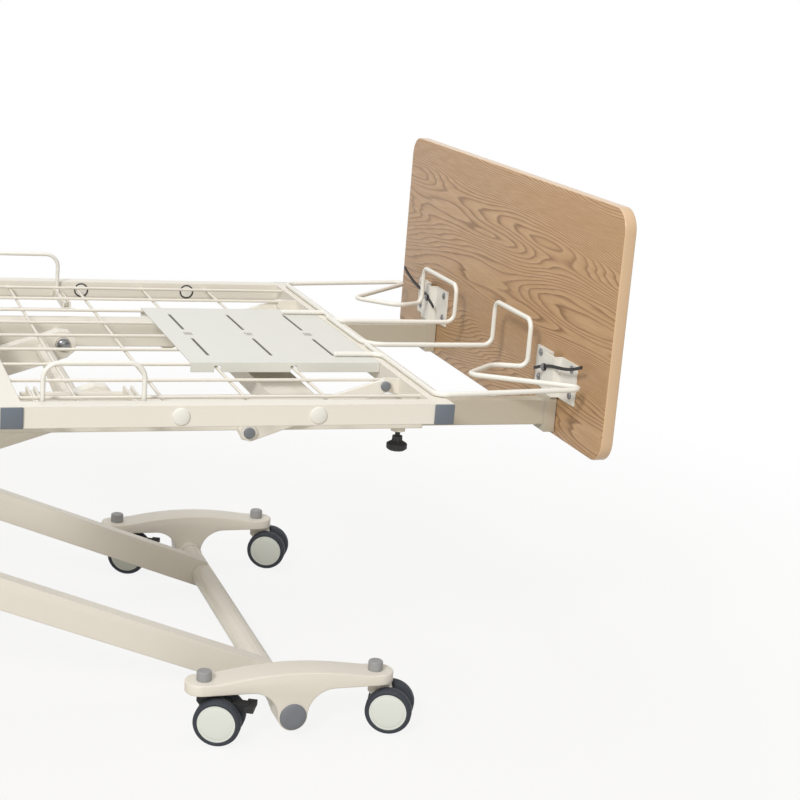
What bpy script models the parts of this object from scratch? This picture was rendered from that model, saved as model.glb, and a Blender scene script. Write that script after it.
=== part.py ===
"""Low hospital bed: hinged wire-spring deck, crossed lift arms, twin-wheel castors, wood-grain end boards.

Sizes are millimetres and become metres in the point function. The station u runs along the bed from the
foot end of the deck (0, positive towards the foot board), y across it from the middle, z up from the floor.
"""
import math

import bmesh
import bpy
from mathutils import Matrix, Vector

MM = 0.001
FIT = 0.3
SHARP = math.radians(32.0)

# Deck
DECK_W = 914.4
DECK_L = 2032.0
DECK_TOP = 540.0
TUBE = 30.0
HINGE_GAP = 10.0
KNEE_U = -656.0
THIGH_U = -1000.0
BACK_U = -1250.0
WIRE_R = 2.5
WIRE_PITCH = 98.0
WIRE_ROWS = 4
WIRE_DEPTH = 4.5
CROSS_WIRE_DROP = 2 * WIRE_R + FIT
CROSS_WIRE_PITCH = 121.0
CROSS_WIRE_FIRST = 171.0
WELD = 3.0
HINGE_Y = 330.0
KNUCKLE_L = 24.0
KNUCKLE_R = 8.0
NECK_HALF = 5.0
PIN_R = 4.0
CHEEK_L = 8.0

# End boards and their brackets
BOARD_W = 934.4
BOARD_T = 19.0
BOARD_BELOW = 95.0
BOARD_ABOVE = 292.0
BOARD_CORNER = 35.0
BOARD_EDGE = 2.0
FOOT_REACH = 238.0
HEAD_REACH = 43.0
BRACKET_W = 152.0
BRACKET_Y = 286.0
BRACKET_LOW = -31.0
BRACKET_HIGH = 34.0
SHEET = 3.0
SOCKET_W = 38.0
SOCKET_DEEP = 15.7
TONGUE_W = 24.0
TONGUE_T = 8.0
TONGUE_SHORT = 5.0
LATCH_PIVOT = (274.0, 551.0)
LATCH_HEEL = (238.0, 541.0)
LATCH_TIP = (410.0, 583.0)
LATCH_HALF = 2.5
LATCH_T = 2.5
LATCH_BOSS_R = 6.0
LATCH_WAVE = 3.0
LATCH_STEPS = 10

# Main frame
RAIL_Y = 276.0
RAIL_W = 36.0
RAIL_H = 46.0
RAIL_DROP = 36.0
RAIL_WALL = 3.0
RAIL_FOOT_U = 15.0
SLEEVE_DEEP = 660.0
MEMBER = 30.0
MEMBER_STATIONS = (-1060.0, -1632.0, -1972.0)
FOOT_MEMBER_U = -185.0
FOOT_MEMBER_W = 70.0
PAD_STATIONS = (-15.0, -631.0, -1025.0, -1225.0, -2017.0)
PAD_HALF = 10.0
PAD_INSET = 4.0
END_PLATE_T = 18.0
END_PLATE_DROP = 89.0
EXTENSION_IN = 430.0
KNOB_U = -18.0
KNOB_DROP = 39.0
KNOB_PROFILE = ((0.0, 36.5), (PIN_R, 36.5), (PIN_R, 23.0), (8.0, 22.5), (8.5, 15.0), (16.5, 10.0),
                (16.5, 3.0), (13.0, 0.0), (0.0, 0.0))
NUT_R = 12.0
NUT_H = 8.0

# Lift
LIFT_MID_U = -1016.0
LIFT_TOP_Z = 480.0
FOOT_PIVOT_U = -1350.0
HEAD_PIVOT_U = -470.0
HUB_Z = 35.0
HUB_REACH = 823.0
ARM_DEEP = 48.0
ARM_WIDE = 26.0
FOOT_ARM_Y = 226.0
HEAD_ARM_Y = 176.0
TIE_R = 13.0
EAR_R = 15.0
FOOT_TIE = -28.0
FOOT_TIE_DROP = 14.0
HEAD_TIE = 34.0
HEAD_TIE_DROP = 0.0
CROSS_R = 20.0
CROSS_HALF = 329.5
SPINDLE_R = 15.0
SPINDLE_END = 388.0
BEARING_R = 12.0
BEARING_PAST = 4.0
LEVER_L = 94.0

# Castor bows
BOW_Y = 372.0
BOW_WIDE = 50.0
BOW_HALF = 163.5
BOW_LOW = 76.5
BOW_END_T = 17.0
BOW_RISE = 12.0
BOW_SWELL = 110.0
HUB_R = 23.0
FILLET_U = 95.0
STEM_REACH = 135.0

# Castors
WHEEL_R = 37.0
WHEEL_SIDES = 16
WHEEL_HALF_W = 28.0
WHEEL_INNER = 9.0
TRAIL = 27.0
SWIVEL = math.radians(-25.0)
STEM_R = 6.0
CAP_R = 11.5
CAP_H = 15.0
WEB_HALF = 5.0
AXLE_R = 5.0
AXLE_BOSS_R = 11.0
AXLE_BOSS_ARC = (1.2 * math.pi, 1.95 * math.pi)
FLANGE_R = 20.0
FLANGE_T = 2.0
WEB_BACK = -9.0
WEB_FRONT = 26.0
WEB_SHOULDER_Z = 60.0
TYRE_EDGE = (6.0, 3.0)
PEDAL_T = 38.0
PEDAL_Z = 60.0
PEDAL_PIN_R = 3.0
PEDAL_BOSS_R = 6.5
PEDAL_CHEEK_R = 4.9
PEDAL_NECK = (46.0, 70.0)
PEDAL_PAD = (66.0, 80.0)
PEDAL_PAD_HALF = 18.0
PEDAL_NECK_RISE = 5.0
PEDAL_PAD_RISE = 4.0

# Deck linkage
CALF_LOW = (-265.0, 458.5)
CALF_HIGH = (-55.0, 528.5)
CALF_Y = 299.0
CALF_T = 8.0
CALF_LOW_R = 15.0
CALF_HIGH_R = 10.0
CALF_PIN_R = 6.0
CALF_WASHER_R = 13.0
CALF_LUG_T = 8.5
CALF_GAP = 0.5

# Actuators: name, y, carrying member, base station, height, tip station, length of the outer tube and inner
# end of the rod from the base
ACTUATORS = (
    ("back_actuator", 70.0, -1632.0, -1602.0, 422.0, -1195.0, 255.0, 220.0),
    ("knee_actuator", -70.0, -1632.0, -1602.0, 417.0, -1028.5, 344.0, 172.0),
    ("foot_lift_actuator", -140.0, -1972.0, -1942.0, 386.0, FOOT_PIVOT_U, 355.0, 178.0),
    ("head_lift_actuator", 140.0, -1060.0, -1030.0, 386.0, HEAD_PIVOT_U, 336.0, 168.0),
)
LUG_HALF = 5.0
LUG_ROOT_R = 12.0
LUG_TIP_R = 11.0
BACK_LUG = (-1195.0, 429.7)
THIGH_LUG = (-1028.5, 418.7)
GEAR_SPAN = (18.0, 112.0)
GEAR_WIDE = 48.0
GEAR_HIGH = 40.0
TUBE_R = 17.0
ROD_R = 10.0
EYE_R = 12.0
EYE_HALF = 10.0
EYE_PIN_R = 6.0
HANGER_R = 13.0
HANGER_GAP = 11.0
HANGER_T = 6.0
FORK_T = 6.0
FORK_GAP = 0.8
FORK_L = 30.0
BRIDGE_HALF = 7.0
CONTROL_L = 90.0
CONTROL_Y = (110.0, 235.0)
CONTROL_Z = (52.0, 4.0)
CONTROL_EDGE = 5.0

# Mattress retainers and the foot pan
PAN_W = 405.0
PAN_U = (-334.0, -30.5)
PAN_T = 1.5
PAN_FLANGE = 15.0
PAN_BELOW = 0.2
SLOT_ROWS = (-295.5, -193.9, -92.3)
SLOT_SPAN = (31.0, 154.0)
SLOT_W = 5.0
RETAINER_R = 4.0
RETAINER_LIFT = 4.5
RETAINER_BEND = 13.0
RETAINER_SIDE_Y = 422.0
CORNER_U = 240.0
CORNER_LIFT = 8.0
RETAINER_TIP = (82.0, 294.0)
SHOULDER = (150.0, 230.0)
LOOP_U = 204.0
NEAR_LOOP = (93.0, 245.0, 76.0)
FAR_LOOP = (88.0, 260.0, 66.0)
HOOK_U = -91.0
HOOK_Y = 160.0
CROSS_U = -15.0
LAP_U = -19.0
LAP_Y = 125.0
BRACE_R = 3.5
BRACE_U = -17.0
BRACE_Y = (88.0, 167.0)
SIDE_RETAINER_U = (-586.0, -447.0)
SIDE_RETAINER_R = 3.5
SIDE_RETAINER_BEND = 12.0
SIDE_RETAINER_Y = DECK_W / 2 - 37.2
SIDE_RETAINER_IN = DECK_W / 2 - 150.2
SIDE_RETAINER_RISE = 51.5
CHANNEL_DROP = 24.0
CHANNEL_H = 12.0
CHANNEL_W = 14.0
CHANNEL_FLOOR = 2.0
CHANNEL_SLOT = 8.0
CHANNEL_IN = DECK_W / 2 - 160.2
CHANNEL_BAR_W = 9.0
CHANNEL_BAR_T = 3.5

# Looks: colour, roughness, metallic
CREAM = ((0.80, 0.76, 0.66), 0.42, 0.0)
WHITE_STEEL = ((0.84, 0.82, 0.76), 0.38, 0.0)
WOOD = ((0.56, 0.36, 0.20), 0.45, 0.0)
GREY_PLASTIC = ((0.25, 0.27, 0.31), 0.5, 0.0)
BLACK_PLASTIC = ((0.02, 0.02, 0.022), 0.45, 0.0)
TYRE_GREY = ((0.06, 0.065, 0.075), 0.6, 0.0)
CHROME = ((0.75, 0.75, 0.77), 0.2, 1.0)

# Derived places
MIDDLE = (DECK_L + HEAD_REACH - FOOT_REACH) / 2
HALF_W = DECK_W / 2
HINGE_Z = DECK_TOP - TUBE / 2
RAIL_TOP = DECK_TOP - RAIL_DROP
RAIL_LOW = RAIL_TOP - RAIL_H
FOOT_HUB_U = LIFT_MID_U + HUB_REACH
HEAD_HUB_U = LIFT_MID_U - HUB_REACH
AXLE_Z = WHEEL_R * math.cos(math.pi / WHEEL_SIDES)
SIDES = (("near", -1), ("far", 1))

bed = bpy.data.collections.new("low_hospital_bed")


def point(u, y, z):
    """A Blender coordinate from bed millimetres."""
    return Vector(((u + MIDDLE) * MM, y * MM, z * MM))


def mesh_object(bm):
    """A loose scene object from a bmesh, faces turned outwards."""
    bmesh.ops.recalc_face_normals(bm, faces=bm.faces)
    mesh = bpy.data.meshes.new("solid")
    bm.to_mesh(mesh)
    bm.free()
    obj = bpy.data.objects.new("solid", mesh)
    bpy.context.scene.collection.objects.link(obj)
    return obj


def box(low, high):
    """A block between two corners."""
    bm = bmesh.new()
    bmesh.ops.create_cube(bm, size=1.0)
    corner = point(*low)
    other = point(*high)
    bmesh.ops.scale(bm, vec=other - corner, verts=bm.verts)
    bmesh.ops.translate(bm, vec=(corner + other) / 2, verts=bm.verts)
    return mesh_object(bm)


def rod(start, end, radius, sides=8):
    """A straight round bar."""
    a = point(*start)
    b = point(*end)
    place = Matrix.Translation((a + b) / 2) @ (b - a).to_track_quat("Z", "Y").to_matrix().to_4x4()
    bm = bmesh.new()
    bmesh.ops.create_cone(bm, cap_ends=True, segments=sides, radius1=radius * MM, radius2=radius * MM,
                          depth=(b - a).length, matrix=place)
    return mesh_object(bm)


def as_mesh(obj):
    """The evaluated object as a welded mesh object in world space, in place of the first."""
    bpy.context.view_layer.update()
    graph = bpy.context.evaluated_depsgraph_get()
    mesh = bpy.data.meshes.new_from_object(obj.evaluated_get(graph))
    mesh.transform(obj.matrix_world)
    bpy.data.objects.remove(obj)
    bm = bmesh.new()
    bm.from_mesh(mesh)
    bpy.data.meshes.remove(mesh)
    bmesh.ops.remove_doubles(bm, verts=bm.verts, dist=1e-6)
    return mesh_object(bm)


def plate(outline, across, low, high):
    """A flat outline square to one axis, reaching from low to high along that axis."""
    curve = bpy.data.curves.new("outline", "CURVE")
    curve.dimensions = "2D"
    curve.fill_mode = "BOTH"
    curve.extrude = (high - low) / 2 * MM
    spline = curve.splines.new("POLY")
    spline.points.add(len(outline) - 1)
    for knot, (p, q) in zip(spline.points, outline):
        knot.co = (p * MM, q * MM, 0.0, 1.0)
    spline.use_cyclic_u = True
    obj = bpy.data.objects.new("outline", curve)
    bpy.context.scene.collection.objects.link(obj)
    middle = (low + high) / 2
    if across == "x":
        turn = Matrix(((0, 0, 1), (1, 0, 0), (0, 1, 0)))
        shift = Vector(((middle + MIDDLE) * MM, 0, 0))
    elif across == "y":
        turn = Matrix(((1, 0, 0), (0, 0, -1), (0, 1, 0)))
        shift = Vector((MIDDLE * MM, middle * MM, 0))
    else:
        turn = Matrix.Identity(3)
        shift = Vector((MIDDLE * MM, 0, middle * MM))
    obj.matrix_world = Matrix.Translation(shift) @ turn.to_4x4()
    return as_mesh(obj)


def rounded(corners, bend, steps=2):
    """A path of straight runs with its inner corners bent to a radius."""
    path = [corners[0]]
    for before, corner, after in zip(corners, corners[1:], corners[2:]):
        back = (before - corner).normalized()
        ahead = (after - corner).normalized()
        half = back.angle(ahead) / 2
        centre = corner + (back + ahead).normalized() * (bend / math.sin(half))
        arm = corner + back * (bend / math.tan(half)) - centre
        axis = back.cross(ahead)
        for step in range(steps + 1):
            turn = Matrix.Rotation(-(math.pi - 2 * half) * step / steps, 3, axis)
            path.append(centre + turn @ arm)
    path.append(corners[-1])
    return path


def wire(corners, radius, bend, closed=False):
    """A round wire along bent straight runs."""
    knots = [Vector(corner) for corner in corners]
    if closed:
        start = (knots[0] + knots[-1]) / 2
        knots = rounded([start] + knots + [start], bend)[:-1]
    else:
        knots = rounded(knots, bend)
    curve = bpy.data.curves.new("wire", "CURVE")
    curve.dimensions = "3D"
    curve.bevel_depth = radius * MM
    curve.bevel_resolution = 1
    curve.use_fill_caps = not closed
    spline = curve.splines.new("POLY")
    spline.points.add(len(knots) - 1)
    for knot, place in zip(spline.points, knots):
        knot.co = (*point(*place), 1.0)
    spline.use_cyclic_u = closed
    obj = bpy.data.objects.new("wire", curve)
    bpy.context.scene.collection.objects.link(obj)
    return as_mesh(obj)


def turned(profile, sides):
    """A turned body about the vertical line at u = 0, y = 0, from radius and height pairs, top first."""
    bm = bmesh.new()
    knots = [bm.verts.new((radius * MM, 0.0, height * MM)) for radius, height in profile]
    for a, b in zip(knots, knots[1:]):
        bm.edges.new((a, b))
    mesh = bpy.data.meshes.new("profile")
    bm.to_mesh(mesh)
    bm.free()
    obj = bpy.data.objects.new("profile", mesh)
    bpy.context.scene.collection.objects.link(obj)
    screw = obj.modifiers.new("turn", "SCREW")
    screw.steps = sides
    screw.render_steps = sides
    screw.use_merge_vertices = True
    screw.merge_threshold = 1e-6
    obj.location = point(0, 0, 0)
    return as_mesh(obj)


def combine(target, others, operation):
    """Join, cut or intersect the target with other solids, which are used up."""
    for other in others:
        step = target.modifiers.new(operation, "BOOLEAN")
        step.operation = operation
        step.solver = "EXACT"
        step.object = other
    result = as_mesh(target)
    for other in others:
        bpy.data.objects.remove(other)
    return result


def bore_radius(pin, sides=8):
    """The radius of a many-sided bore that clears a round pin."""
    return (pin + FIT) / math.cos(math.pi / sides)


def weld(first, *others):
    return combine(first, others, "UNION")


def cut(first, *others):
    return combine(first, others, "DIFFERENCE")


def arc(centre, radius, start, end, steps=3):
    """Points of an arc in an outline."""
    angles = [start + (end - start) * step / steps for step in range(steps + 1)]
    return [(centre[0] + radius * math.cos(a), centre[1] + radius * math.sin(a)) for a in angles]


def link_outline(a, b, radius_a, radius_b):
    """A link with two round ends."""
    heading = math.atan2(b[1] - a[1], b[0] - a[0])
    spread = math.acos((radius_a - radius_b) / math.dist(a, b))
    outline = arc(b, radius_b, heading - spread, heading + spread)
    return outline + arc(a, radius_a, heading + spread, heading + 2 * math.pi - spread)


def rounded_rectangle(low, high, radius, steps=5):
    """A rectangle outline with round corners."""
    quarter = math.pi / 2
    centres = ((high[0] - radius, high[1] - radius), (low[0] + radius, high[1] - radius),
               (low[0] + radius, low[1] + radius), (high[0] - radius, low[1] + radius))
    outline = []
    for turn, centre in enumerate(centres):
        outline += arc(centre, radius, turn * quarter, (turn + 1) * quarter, steps)
    return outline


def part(name, obj, look, pivot=(0.0, 0.0, 0.0), stand=None, turn=0.0):
    """Name a finished solid, put its origin on its pivot, stand it in place and give it its look."""
    obj.name = name
    obj.data.name = name
    obj.data.transform(Matrix.Translation(-point(*pivot)))
    obj.location = point(*(stand or pivot))
    obj.rotation_euler.z = turn
    colour, roughness, metallic = look
    material = bpy.data.materials.new(name)
    material.use_nodes = True
    shader = material.node_tree.nodes["Principled BSDF"]
    shader.inputs["Base Color"].default_value = (*colour, 1.0)
    shader.inputs["Roughness"].default_value = roughness
    shader.inputs["Metallic"].default_value = metallic
    obj.data.materials.append(material)
    obj.data.shade_smooth()
    obj.data.set_sharp_from_angle(angle=SHARP)
    bpy.context.scene.collection.objects.unlink(obj)
    bed.objects.link(obj)
    return obj


def deck_section(low, high):
    """A tube ring with its wire spring: lengthwise wires on top of crosswise ones."""
    ring = box((low, -HALF_W, DECK_TOP - TUBE), (high, HALF_W, DECK_TOP))
    ring = cut(ring, box((low + TUBE, TUBE - HALF_W, 0.0), (high - TUBE, HALF_W - TUBE, 2 * DECK_TOP)))
    top = DECK_TOP - WIRE_DEPTH
    wires = []
    for row in range(-WIRE_ROWS, WIRE_ROWS + 1):
        y = row * WIRE_PITCH
        start = (low + TUBE - WELD, y, top)
        wires.append(rod(start, (high - TUBE + WELD, y, top), WIRE_R, 6))
    u = high - CROSS_WIRE_FIRST
    while u > low + 2 * TUBE:
        start = (u, TUBE - WELD - HALF_W, top - CROSS_WIRE_DROP)
        wires.append(rod(start, (u, HALF_W - TUBE + WELD, top - CROSS_WIRE_DROP), WIRE_R, 6))
        u -= CROSS_WIRE_PITCH
    return weld(ring, *wires)


def hinge_eyes(section, axis_u, side):
    """Two bored eyes that reach from a section's end tube to its hinge line."""
    for y in (-HINGE_Y, HINGE_Y):
        low = y - KNUCKLE_L / 2
        high = y + KNUCKLE_L / 2
        eye = rod((axis_u, low, HINGE_Z), (axis_u, high, HINGE_Z), KNUCKLE_R, 6)
        neck = box((axis_u, low, HINGE_Z - NECK_HALF),
                   (axis_u + side * (HINGE_GAP + WELD), high, HINGE_Z + NECK_HALF))
        bore = rod((axis_u, low - 1, HINGE_Z), (axis_u, high + 1, HINGE_Z), bore_radius(PIN_R, 6), 6)
        section = cut(weld(section, eye, neck), bore)
    return section


def hinge_pins(section, axis_u, side):
    """Two pins held in cheeks that reach from a section's end tube to its hinge line."""
    for y in (-HINGE_Y, HINGE_Y):
        inner = KNUCKLE_L / 2 + FIT
        outer = inner + CHEEK_L
        solids = [rod((axis_u, y - outer + 1, HINGE_Z), (axis_u, y + outer - 1, HINGE_Z), PIN_R, 6)]
        for low, high in ((y - outer, y - inner), (y + inner, y + outer)):
            solids.append(rod((axis_u, low, HINGE_Z), (axis_u, high, HINGE_Z), KNUCKLE_R, 6))
            solids.append(box((axis_u, low, HINGE_Z - NECK_HALF),
                              (axis_u + side * (HINGE_GAP + WELD), high, HINGE_Z + NECK_HALF)))
        section = weld(section, *solids)
    return section


def lug(root, tip, y):
    """A plate that an actuator's fork straddles."""
    return plate(link_outline(root, tip, LUG_ROOT_R, LUG_TIP_R), "y", y - LUG_HALF, y + LUG_HALF)


def seat_section():
    section = deck_section(BACK_U + HINGE_GAP, THIGH_U - HINGE_GAP)
    section = hinge_pins(section, BACK_U, 1)
    section = hinge_pins(section, THIGH_U, -1)
    part("seat_section", section, CREAM, (THIGH_U, 0.0, HINGE_Z))


def back_section():
    section = deck_section(-DECK_L, BACK_U - HINGE_GAP)
    section = hinge_eyes(section, BACK_U, -1)
    root = (BACK_U - HINGE_GAP - TUBE / 2, HINGE_Z)
    section = weld(section, lug(root, BACK_LUG, ACTUATORS[0][1]))
    part("back_section", section, CREAM, (BACK_U, 0.0, HINGE_Z))


def thigh_section():
    section = deck_section(THIGH_U + HINGE_GAP, KNEE_U - HINGE_GAP)
    section = hinge_eyes(section, THIGH_U, 1)
    section = hinge_pins(section, KNEE_U, -1)
    root = (THIGH_U + HINGE_GAP + TUBE / 2, HINGE_Z)
    section = weld(section, lug(root, THIGH_LUG, ACTUATORS[1][1]))
    part("thigh_section", section, CREAM, (THIGH_U, 0.0, HINGE_Z))


def retainer_channel(u, side):
    """An upward-open channel that guides one leg of a side retainer."""
    low = DECK_TOP - CHANNEL_DROP
    high = low + CHANNEL_H
    floor = low + CHANNEL_FLOOR
    half = CHANNEL_W / 2
    slot = CHANNEL_SLOT / 2
    outline = ((u - half, low), (u + half, low), (u + half, high), (u + slot, high), (u + slot, floor),
               (u - slot, floor), (u - slot, high), (u - half, high))
    ends = sorted((side * CHANNEL_IN, side * (HALF_W - TUBE + WELD)))
    return plate(outline, "y", *ends)


def foot_section():
    section = deck_section(KNEE_U + HINGE_GAP, 0.0)
    section = hinge_eyes(section, KNEE_U, 1)
    bar_low = DECK_TOP - CHANNEL_DROP - CHANNEL_FLOOR
    for _, side in SIDES:
        solids = [retainer_channel(u, side) for u in SIDE_RETAINER_U]
        bar = sorted((side * (CHANNEL_IN - CHANNEL_BAR_W), side * (CHANNEL_IN + WELD)))
        solids.append(box((SIDE_RETAINER_U[0] - CHANNEL_W, bar[0], bar_low),
                          (SIDE_RETAINER_U[1] + CHANNEL_W, bar[1], bar_low + CHANNEL_BAR_T)))
        faces = sorted((side * (CALF_Y - CALF_GAP - CALF_LUG_T), side * (CALF_Y - CALF_GAP)))
        root = (-TUBE + WELD, HINGE_Z)
        solids.append(plate(link_outline(root, CALF_HIGH, LUG_ROOT_R, CALF_HIGH_R), "y", *faces))
        section = weld(section, *solids)
    part("foot_section", section, CREAM, (KNEE_U, 0.0, HINGE_Z))


def foot_pan():
    """A slotted sheet with turned-down sides, resting on the foot section's lengthwise wires."""
    top = DECK_TOP - PAN_BELOW
    half = PAN_W / 2
    pan = box((PAN_U[0], -half, top - PAN_FLANGE), (PAN_U[1], half, top))
    pan = cut(pan, box((PAN_U[0] - 1, PAN_T - half, 0.0), (PAN_U[1] + 1, half - PAN_T, top - PAN_T)))
    cutters = []
    for u in SLOT_ROWS:
        for side in (-1, 1):
            span = sorted((side * SLOT_SPAN[0], side * SLOT_SPAN[1]))
            outline = rounded_rectangle((u - SLOT_W / 2, span[0]), (u + SLOT_W / 2, span[1]), SLOT_W / 2, 2)
            cutters.append(plate(outline, "z", top - 2 * PAN_T, top + PAN_T))
    u = -CROSS_WIRE_FIRST
    while u > PAN_U[0]:
        cutters.append(box((u - 2 * WIRE_R, -half - 1, 0.0), (u + 2 * WIRE_R, half + 1, top - 2 * WIRE_R)))
        u -= CROSS_WIRE_PITCH
    part("foot_pan", cut(pan, *cutters), WHITE_STEEL, (PAN_U[0], 0.0, top))


def retainer_loop(side, z, shape):
    """The bent run on one side: out to the corner, back to the tip, and up and over beside the board."""
    inner, outer, rise = shape
    flat = [(CORNER_U, side * RETAINER_SIDE_Y, z + CORNER_LIFT),
            (RETAINER_TIP[0], side * RETAINER_TIP[1], z), (SHOULDER[0], side * SHOULDER[1], z)]
    upright = [(LOOP_U, side * outer, z), (LOOP_U, side * outer, z + rise),
               (LOOP_U, side * inner, z + rise), (LOOP_U, side * inner, z)]
    return flat + upright


def foot_mattress_retainer():
    """Bent wire loops that stand the mattress off the foot board; they slide out with it."""
    z = DECK_TOP + RETAINER_LIFT
    near = [(HOOK_U, -HOOK_Y, z), (CROSS_U, -HOOK_Y, z), (CROSS_U, -RETAINER_SIDE_Y, z)]
    near += retainer_loop(-1, z, NEAR_LOOP) + [(LAP_U, -NEAR_LOOP[0], z), (LAP_U, LAP_Y, z)]
    far = [(CROSS_U, RETAINER_SIDE_Y, z)] + retainer_loop(1, z, FAR_LOOP) + [(CROSS_U, FAR_LOOP[0], z)]
    frame = wire(near, RETAINER_R, RETAINER_BEND)
    frame = weld(frame, wire(far, RETAINER_R, RETAINER_BEND, closed=True),
                 rod((HOOK_U, HOOK_Y, z), (CROSS_U + RETAINER_R / 2, HOOK_Y, z), RETAINER_R),
                 rod((BRACE_U, -BRACE_Y[0], z), (BRACE_U, -BRACE_Y[1], z), BRACE_R))
    part("foot_mattress_retainer", frame, WHITE_STEEL, (0.0, 0.0, z))


def side_retainers():
    low = DECK_TOP - CHANNEL_DROP + CHANNEL_FLOOR + FIT + SIDE_RETAINER_R
    high = DECK_TOP + SIDE_RETAINER_RISE
    first, last = SIDE_RETAINER_U
    for name, side in SIDES:
        inner = side * SIDE_RETAINER_IN
        outer = side * SIDE_RETAINER_Y
        path = [(first, inner, low), (first, outer, low), (first, outer, high), (last, outer, high),
                (last, outer, low), (last, inner, low)]
        bent = wire(path, SIDE_RETAINER_R, SIDE_RETAINER_BEND)
        part("side_retainer_" + name, bent, WHITE_STEEL, (first, outer, low))


def end_plate(face_u, outward, side):
    """The upright plate on a rail's end and the tongue that a board bracket drops over."""
    low = DECK_TOP - END_PLATE_DROP
    high = DECK_TOP + BRACKET_LOW - 2 * FIT
    spans = sorted((face_u - outward, face_u - outward * (1 + END_PLATE_T)))
    across = sorted((side * (RAIL_Y - RAIL_W / 2), side * (BRACKET_Y + TONGUE_W / 2 + 1)))
    foot = box((spans[0], across[0], low), (spans[1], across[1], high))
    stem = sorted((face_u - outward * WELD, face_u - outward * (WELD + TONGUE_T)))
    width = sorted((side * (BRACKET_Y - TONGUE_W / 2), side * (BRACKET_Y + TONGUE_W / 2)))
    tongue_top = DECK_TOP + BRACKET_HIGH - TONGUE_SHORT
    tongue = box((stem[0], width[0], high - WELD), (stem[1], width[1], tongue_top))
    return weld(foot, tongue)


def calf_bracket(side):
    """The bracket under a rail, with the pin and washer that a calf link turns on."""
    u, z = CALF_LOW
    faces = sorted((side * (RAIL_Y + RAIL_W / 2 - 2), side * (CALF_Y - CALF_GAP)))
    pin_end = CALF_Y + CALF_T + CALF_GAP + WELD
    return [plate(link_outline((u, z + 2 * CALF_LOW_R), CALF_LOW, CALF_LOW_R, CALF_LOW_R), "y", *faces),
            rod((u, side * (CALF_Y - 2), z), (u, side * pin_end, z), CALF_PIN_R),
            rod((u, side * (pin_end - WELD), z), (u, side * (pin_end + 1), z), CALF_WASHER_R)]


def actuator_hanger(y, member, base, height):
    """Two plates that hang from a cross member and the pin between them."""
    hang = (member, RAIL_TOP - 1 - MEMBER / 2)
    solids = []
    for low, high in ((-HANGER_GAP - HANGER_T, -HANGER_GAP), (HANGER_GAP, HANGER_GAP + HANGER_T)):
        outline = link_outline(hang, (base, height), HANGER_R, HANGER_R)
        solids.append(plate(outline, "y", y + low, y + high))
    reach = HANGER_GAP + HANGER_T - 1
    solids.append(rod((base, y - reach, height), (base, y + reach, height), EYE_PIN_R))
    return solids


def main_frame():
    """Two sleeve rails on cross members, with bearings, pads and brackets: the part all else hangs on."""
    head_u = -DECK_L - HEAD_REACH
    half = RAIL_W / 2
    solids = []
    bores = []
    for _, side in SIDES:
        y = side * RAIL_Y
        across = sorted((y - half, y + half))
        solids.append(box((head_u + END_PLATE_T, across[0], RAIL_LOW), (RAIL_FOOT_U, across[1], RAIL_TOP)))
        bores.append(box((RAIL_FOOT_U - SLEEVE_DEEP, across[0] + RAIL_WALL, RAIL_LOW + RAIL_WALL),
                         (RAIL_FOOT_U + 1, across[1] - RAIL_WALL, RAIL_TOP - RAIL_WALL)))
        solids.append(end_plate(head_u, -1, side))
        for u in PAD_STATIONS:
            solids.append(box((u - PAD_HALF, across[0] + PAD_INSET, RAIL_TOP - 1),
                              (u + PAD_HALF, across[1] - PAD_INSET, DECK_TOP - TUBE - FIT)))
        inner = side * (RAIL_Y - half + RAIL_WALL - 1)
        for u, arm_y in ((FOOT_PIVOT_U, FOOT_ARM_Y), (HEAD_PIVOT_U, HEAD_ARM_Y)):
            end = (u, side * (arm_y - BEARING_PAST), LIFT_TOP_Z)
            solids.append(rod((u, inner, LIFT_TOP_Z), end, BEARING_R, 12))
        solids.append(rod((KNOB_U, y, RAIL_LOW + 1), (KNOB_U, y, RAIL_LOW - NUT_H), NUT_R))
        bores.append(rod((KNOB_U, y, RAIL_LOW - 2), (KNOB_U, y, RAIL_LOW - NUT_H - 1), bore_radius(PIN_R)))
        solids += calf_bracket(side)
    reach = RAIL_Y - half + RAIL_WALL / 2
    widths = [(u, MEMBER) for u in MEMBER_STATIONS] + [(FOOT_MEMBER_U, FOOT_MEMBER_W)]
    for u, width in widths:
        solids.append(box((u - width / 2, -reach, RAIL_TOP - 1 - MEMBER),
                          (u + width / 2, reach, RAIL_TOP - 1)))
    for _, y, member, base, height, *_ in ACTUATORS:
        solids += actuator_hanger(y, member, base, height)
    frame = cut(weld(solids[0], *solids[1:]), *bores)
    part("main_frame", frame, CREAM, (LIFT_MID_U, 0.0, RAIL_LOW))


def foot_extension_rails():
    """The inner tubes that carry the foot board out of the sleeves."""
    wide = RAIL_W / 2 - RAIL_WALL - FIT
    for name, side in SIDES:
        y = side * RAIL_Y
        tube = box((-EXTENSION_IN, y - wide, RAIL_LOW + RAIL_WALL + FIT),
                   (FOOT_REACH - END_PLATE_T, y + wide, RAIL_TOP - RAIL_WALL - FIT))
        tube = weld(tube, end_plate(FOOT_REACH, 1, side))
        part("foot_extension_rail_" + name, tube, CREAM, (FOOT_REACH, y, RAIL_LOW))


def lock_knobs():
    """Flared hand knobs that pinch the extension tubes in their sleeves."""
    low = RAIL_LOW - KNOB_DROP
    profile = [(radius, low + height) for radius, height in KNOB_PROFILE]
    for name, side in SIDES:
        place = (KNOB_U, side * RAIL_Y, low)
        part("lock_knob_" + name, turned(profile, 12), BLACK_PLASTIC, (0.0, 0.0, low), place)


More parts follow.
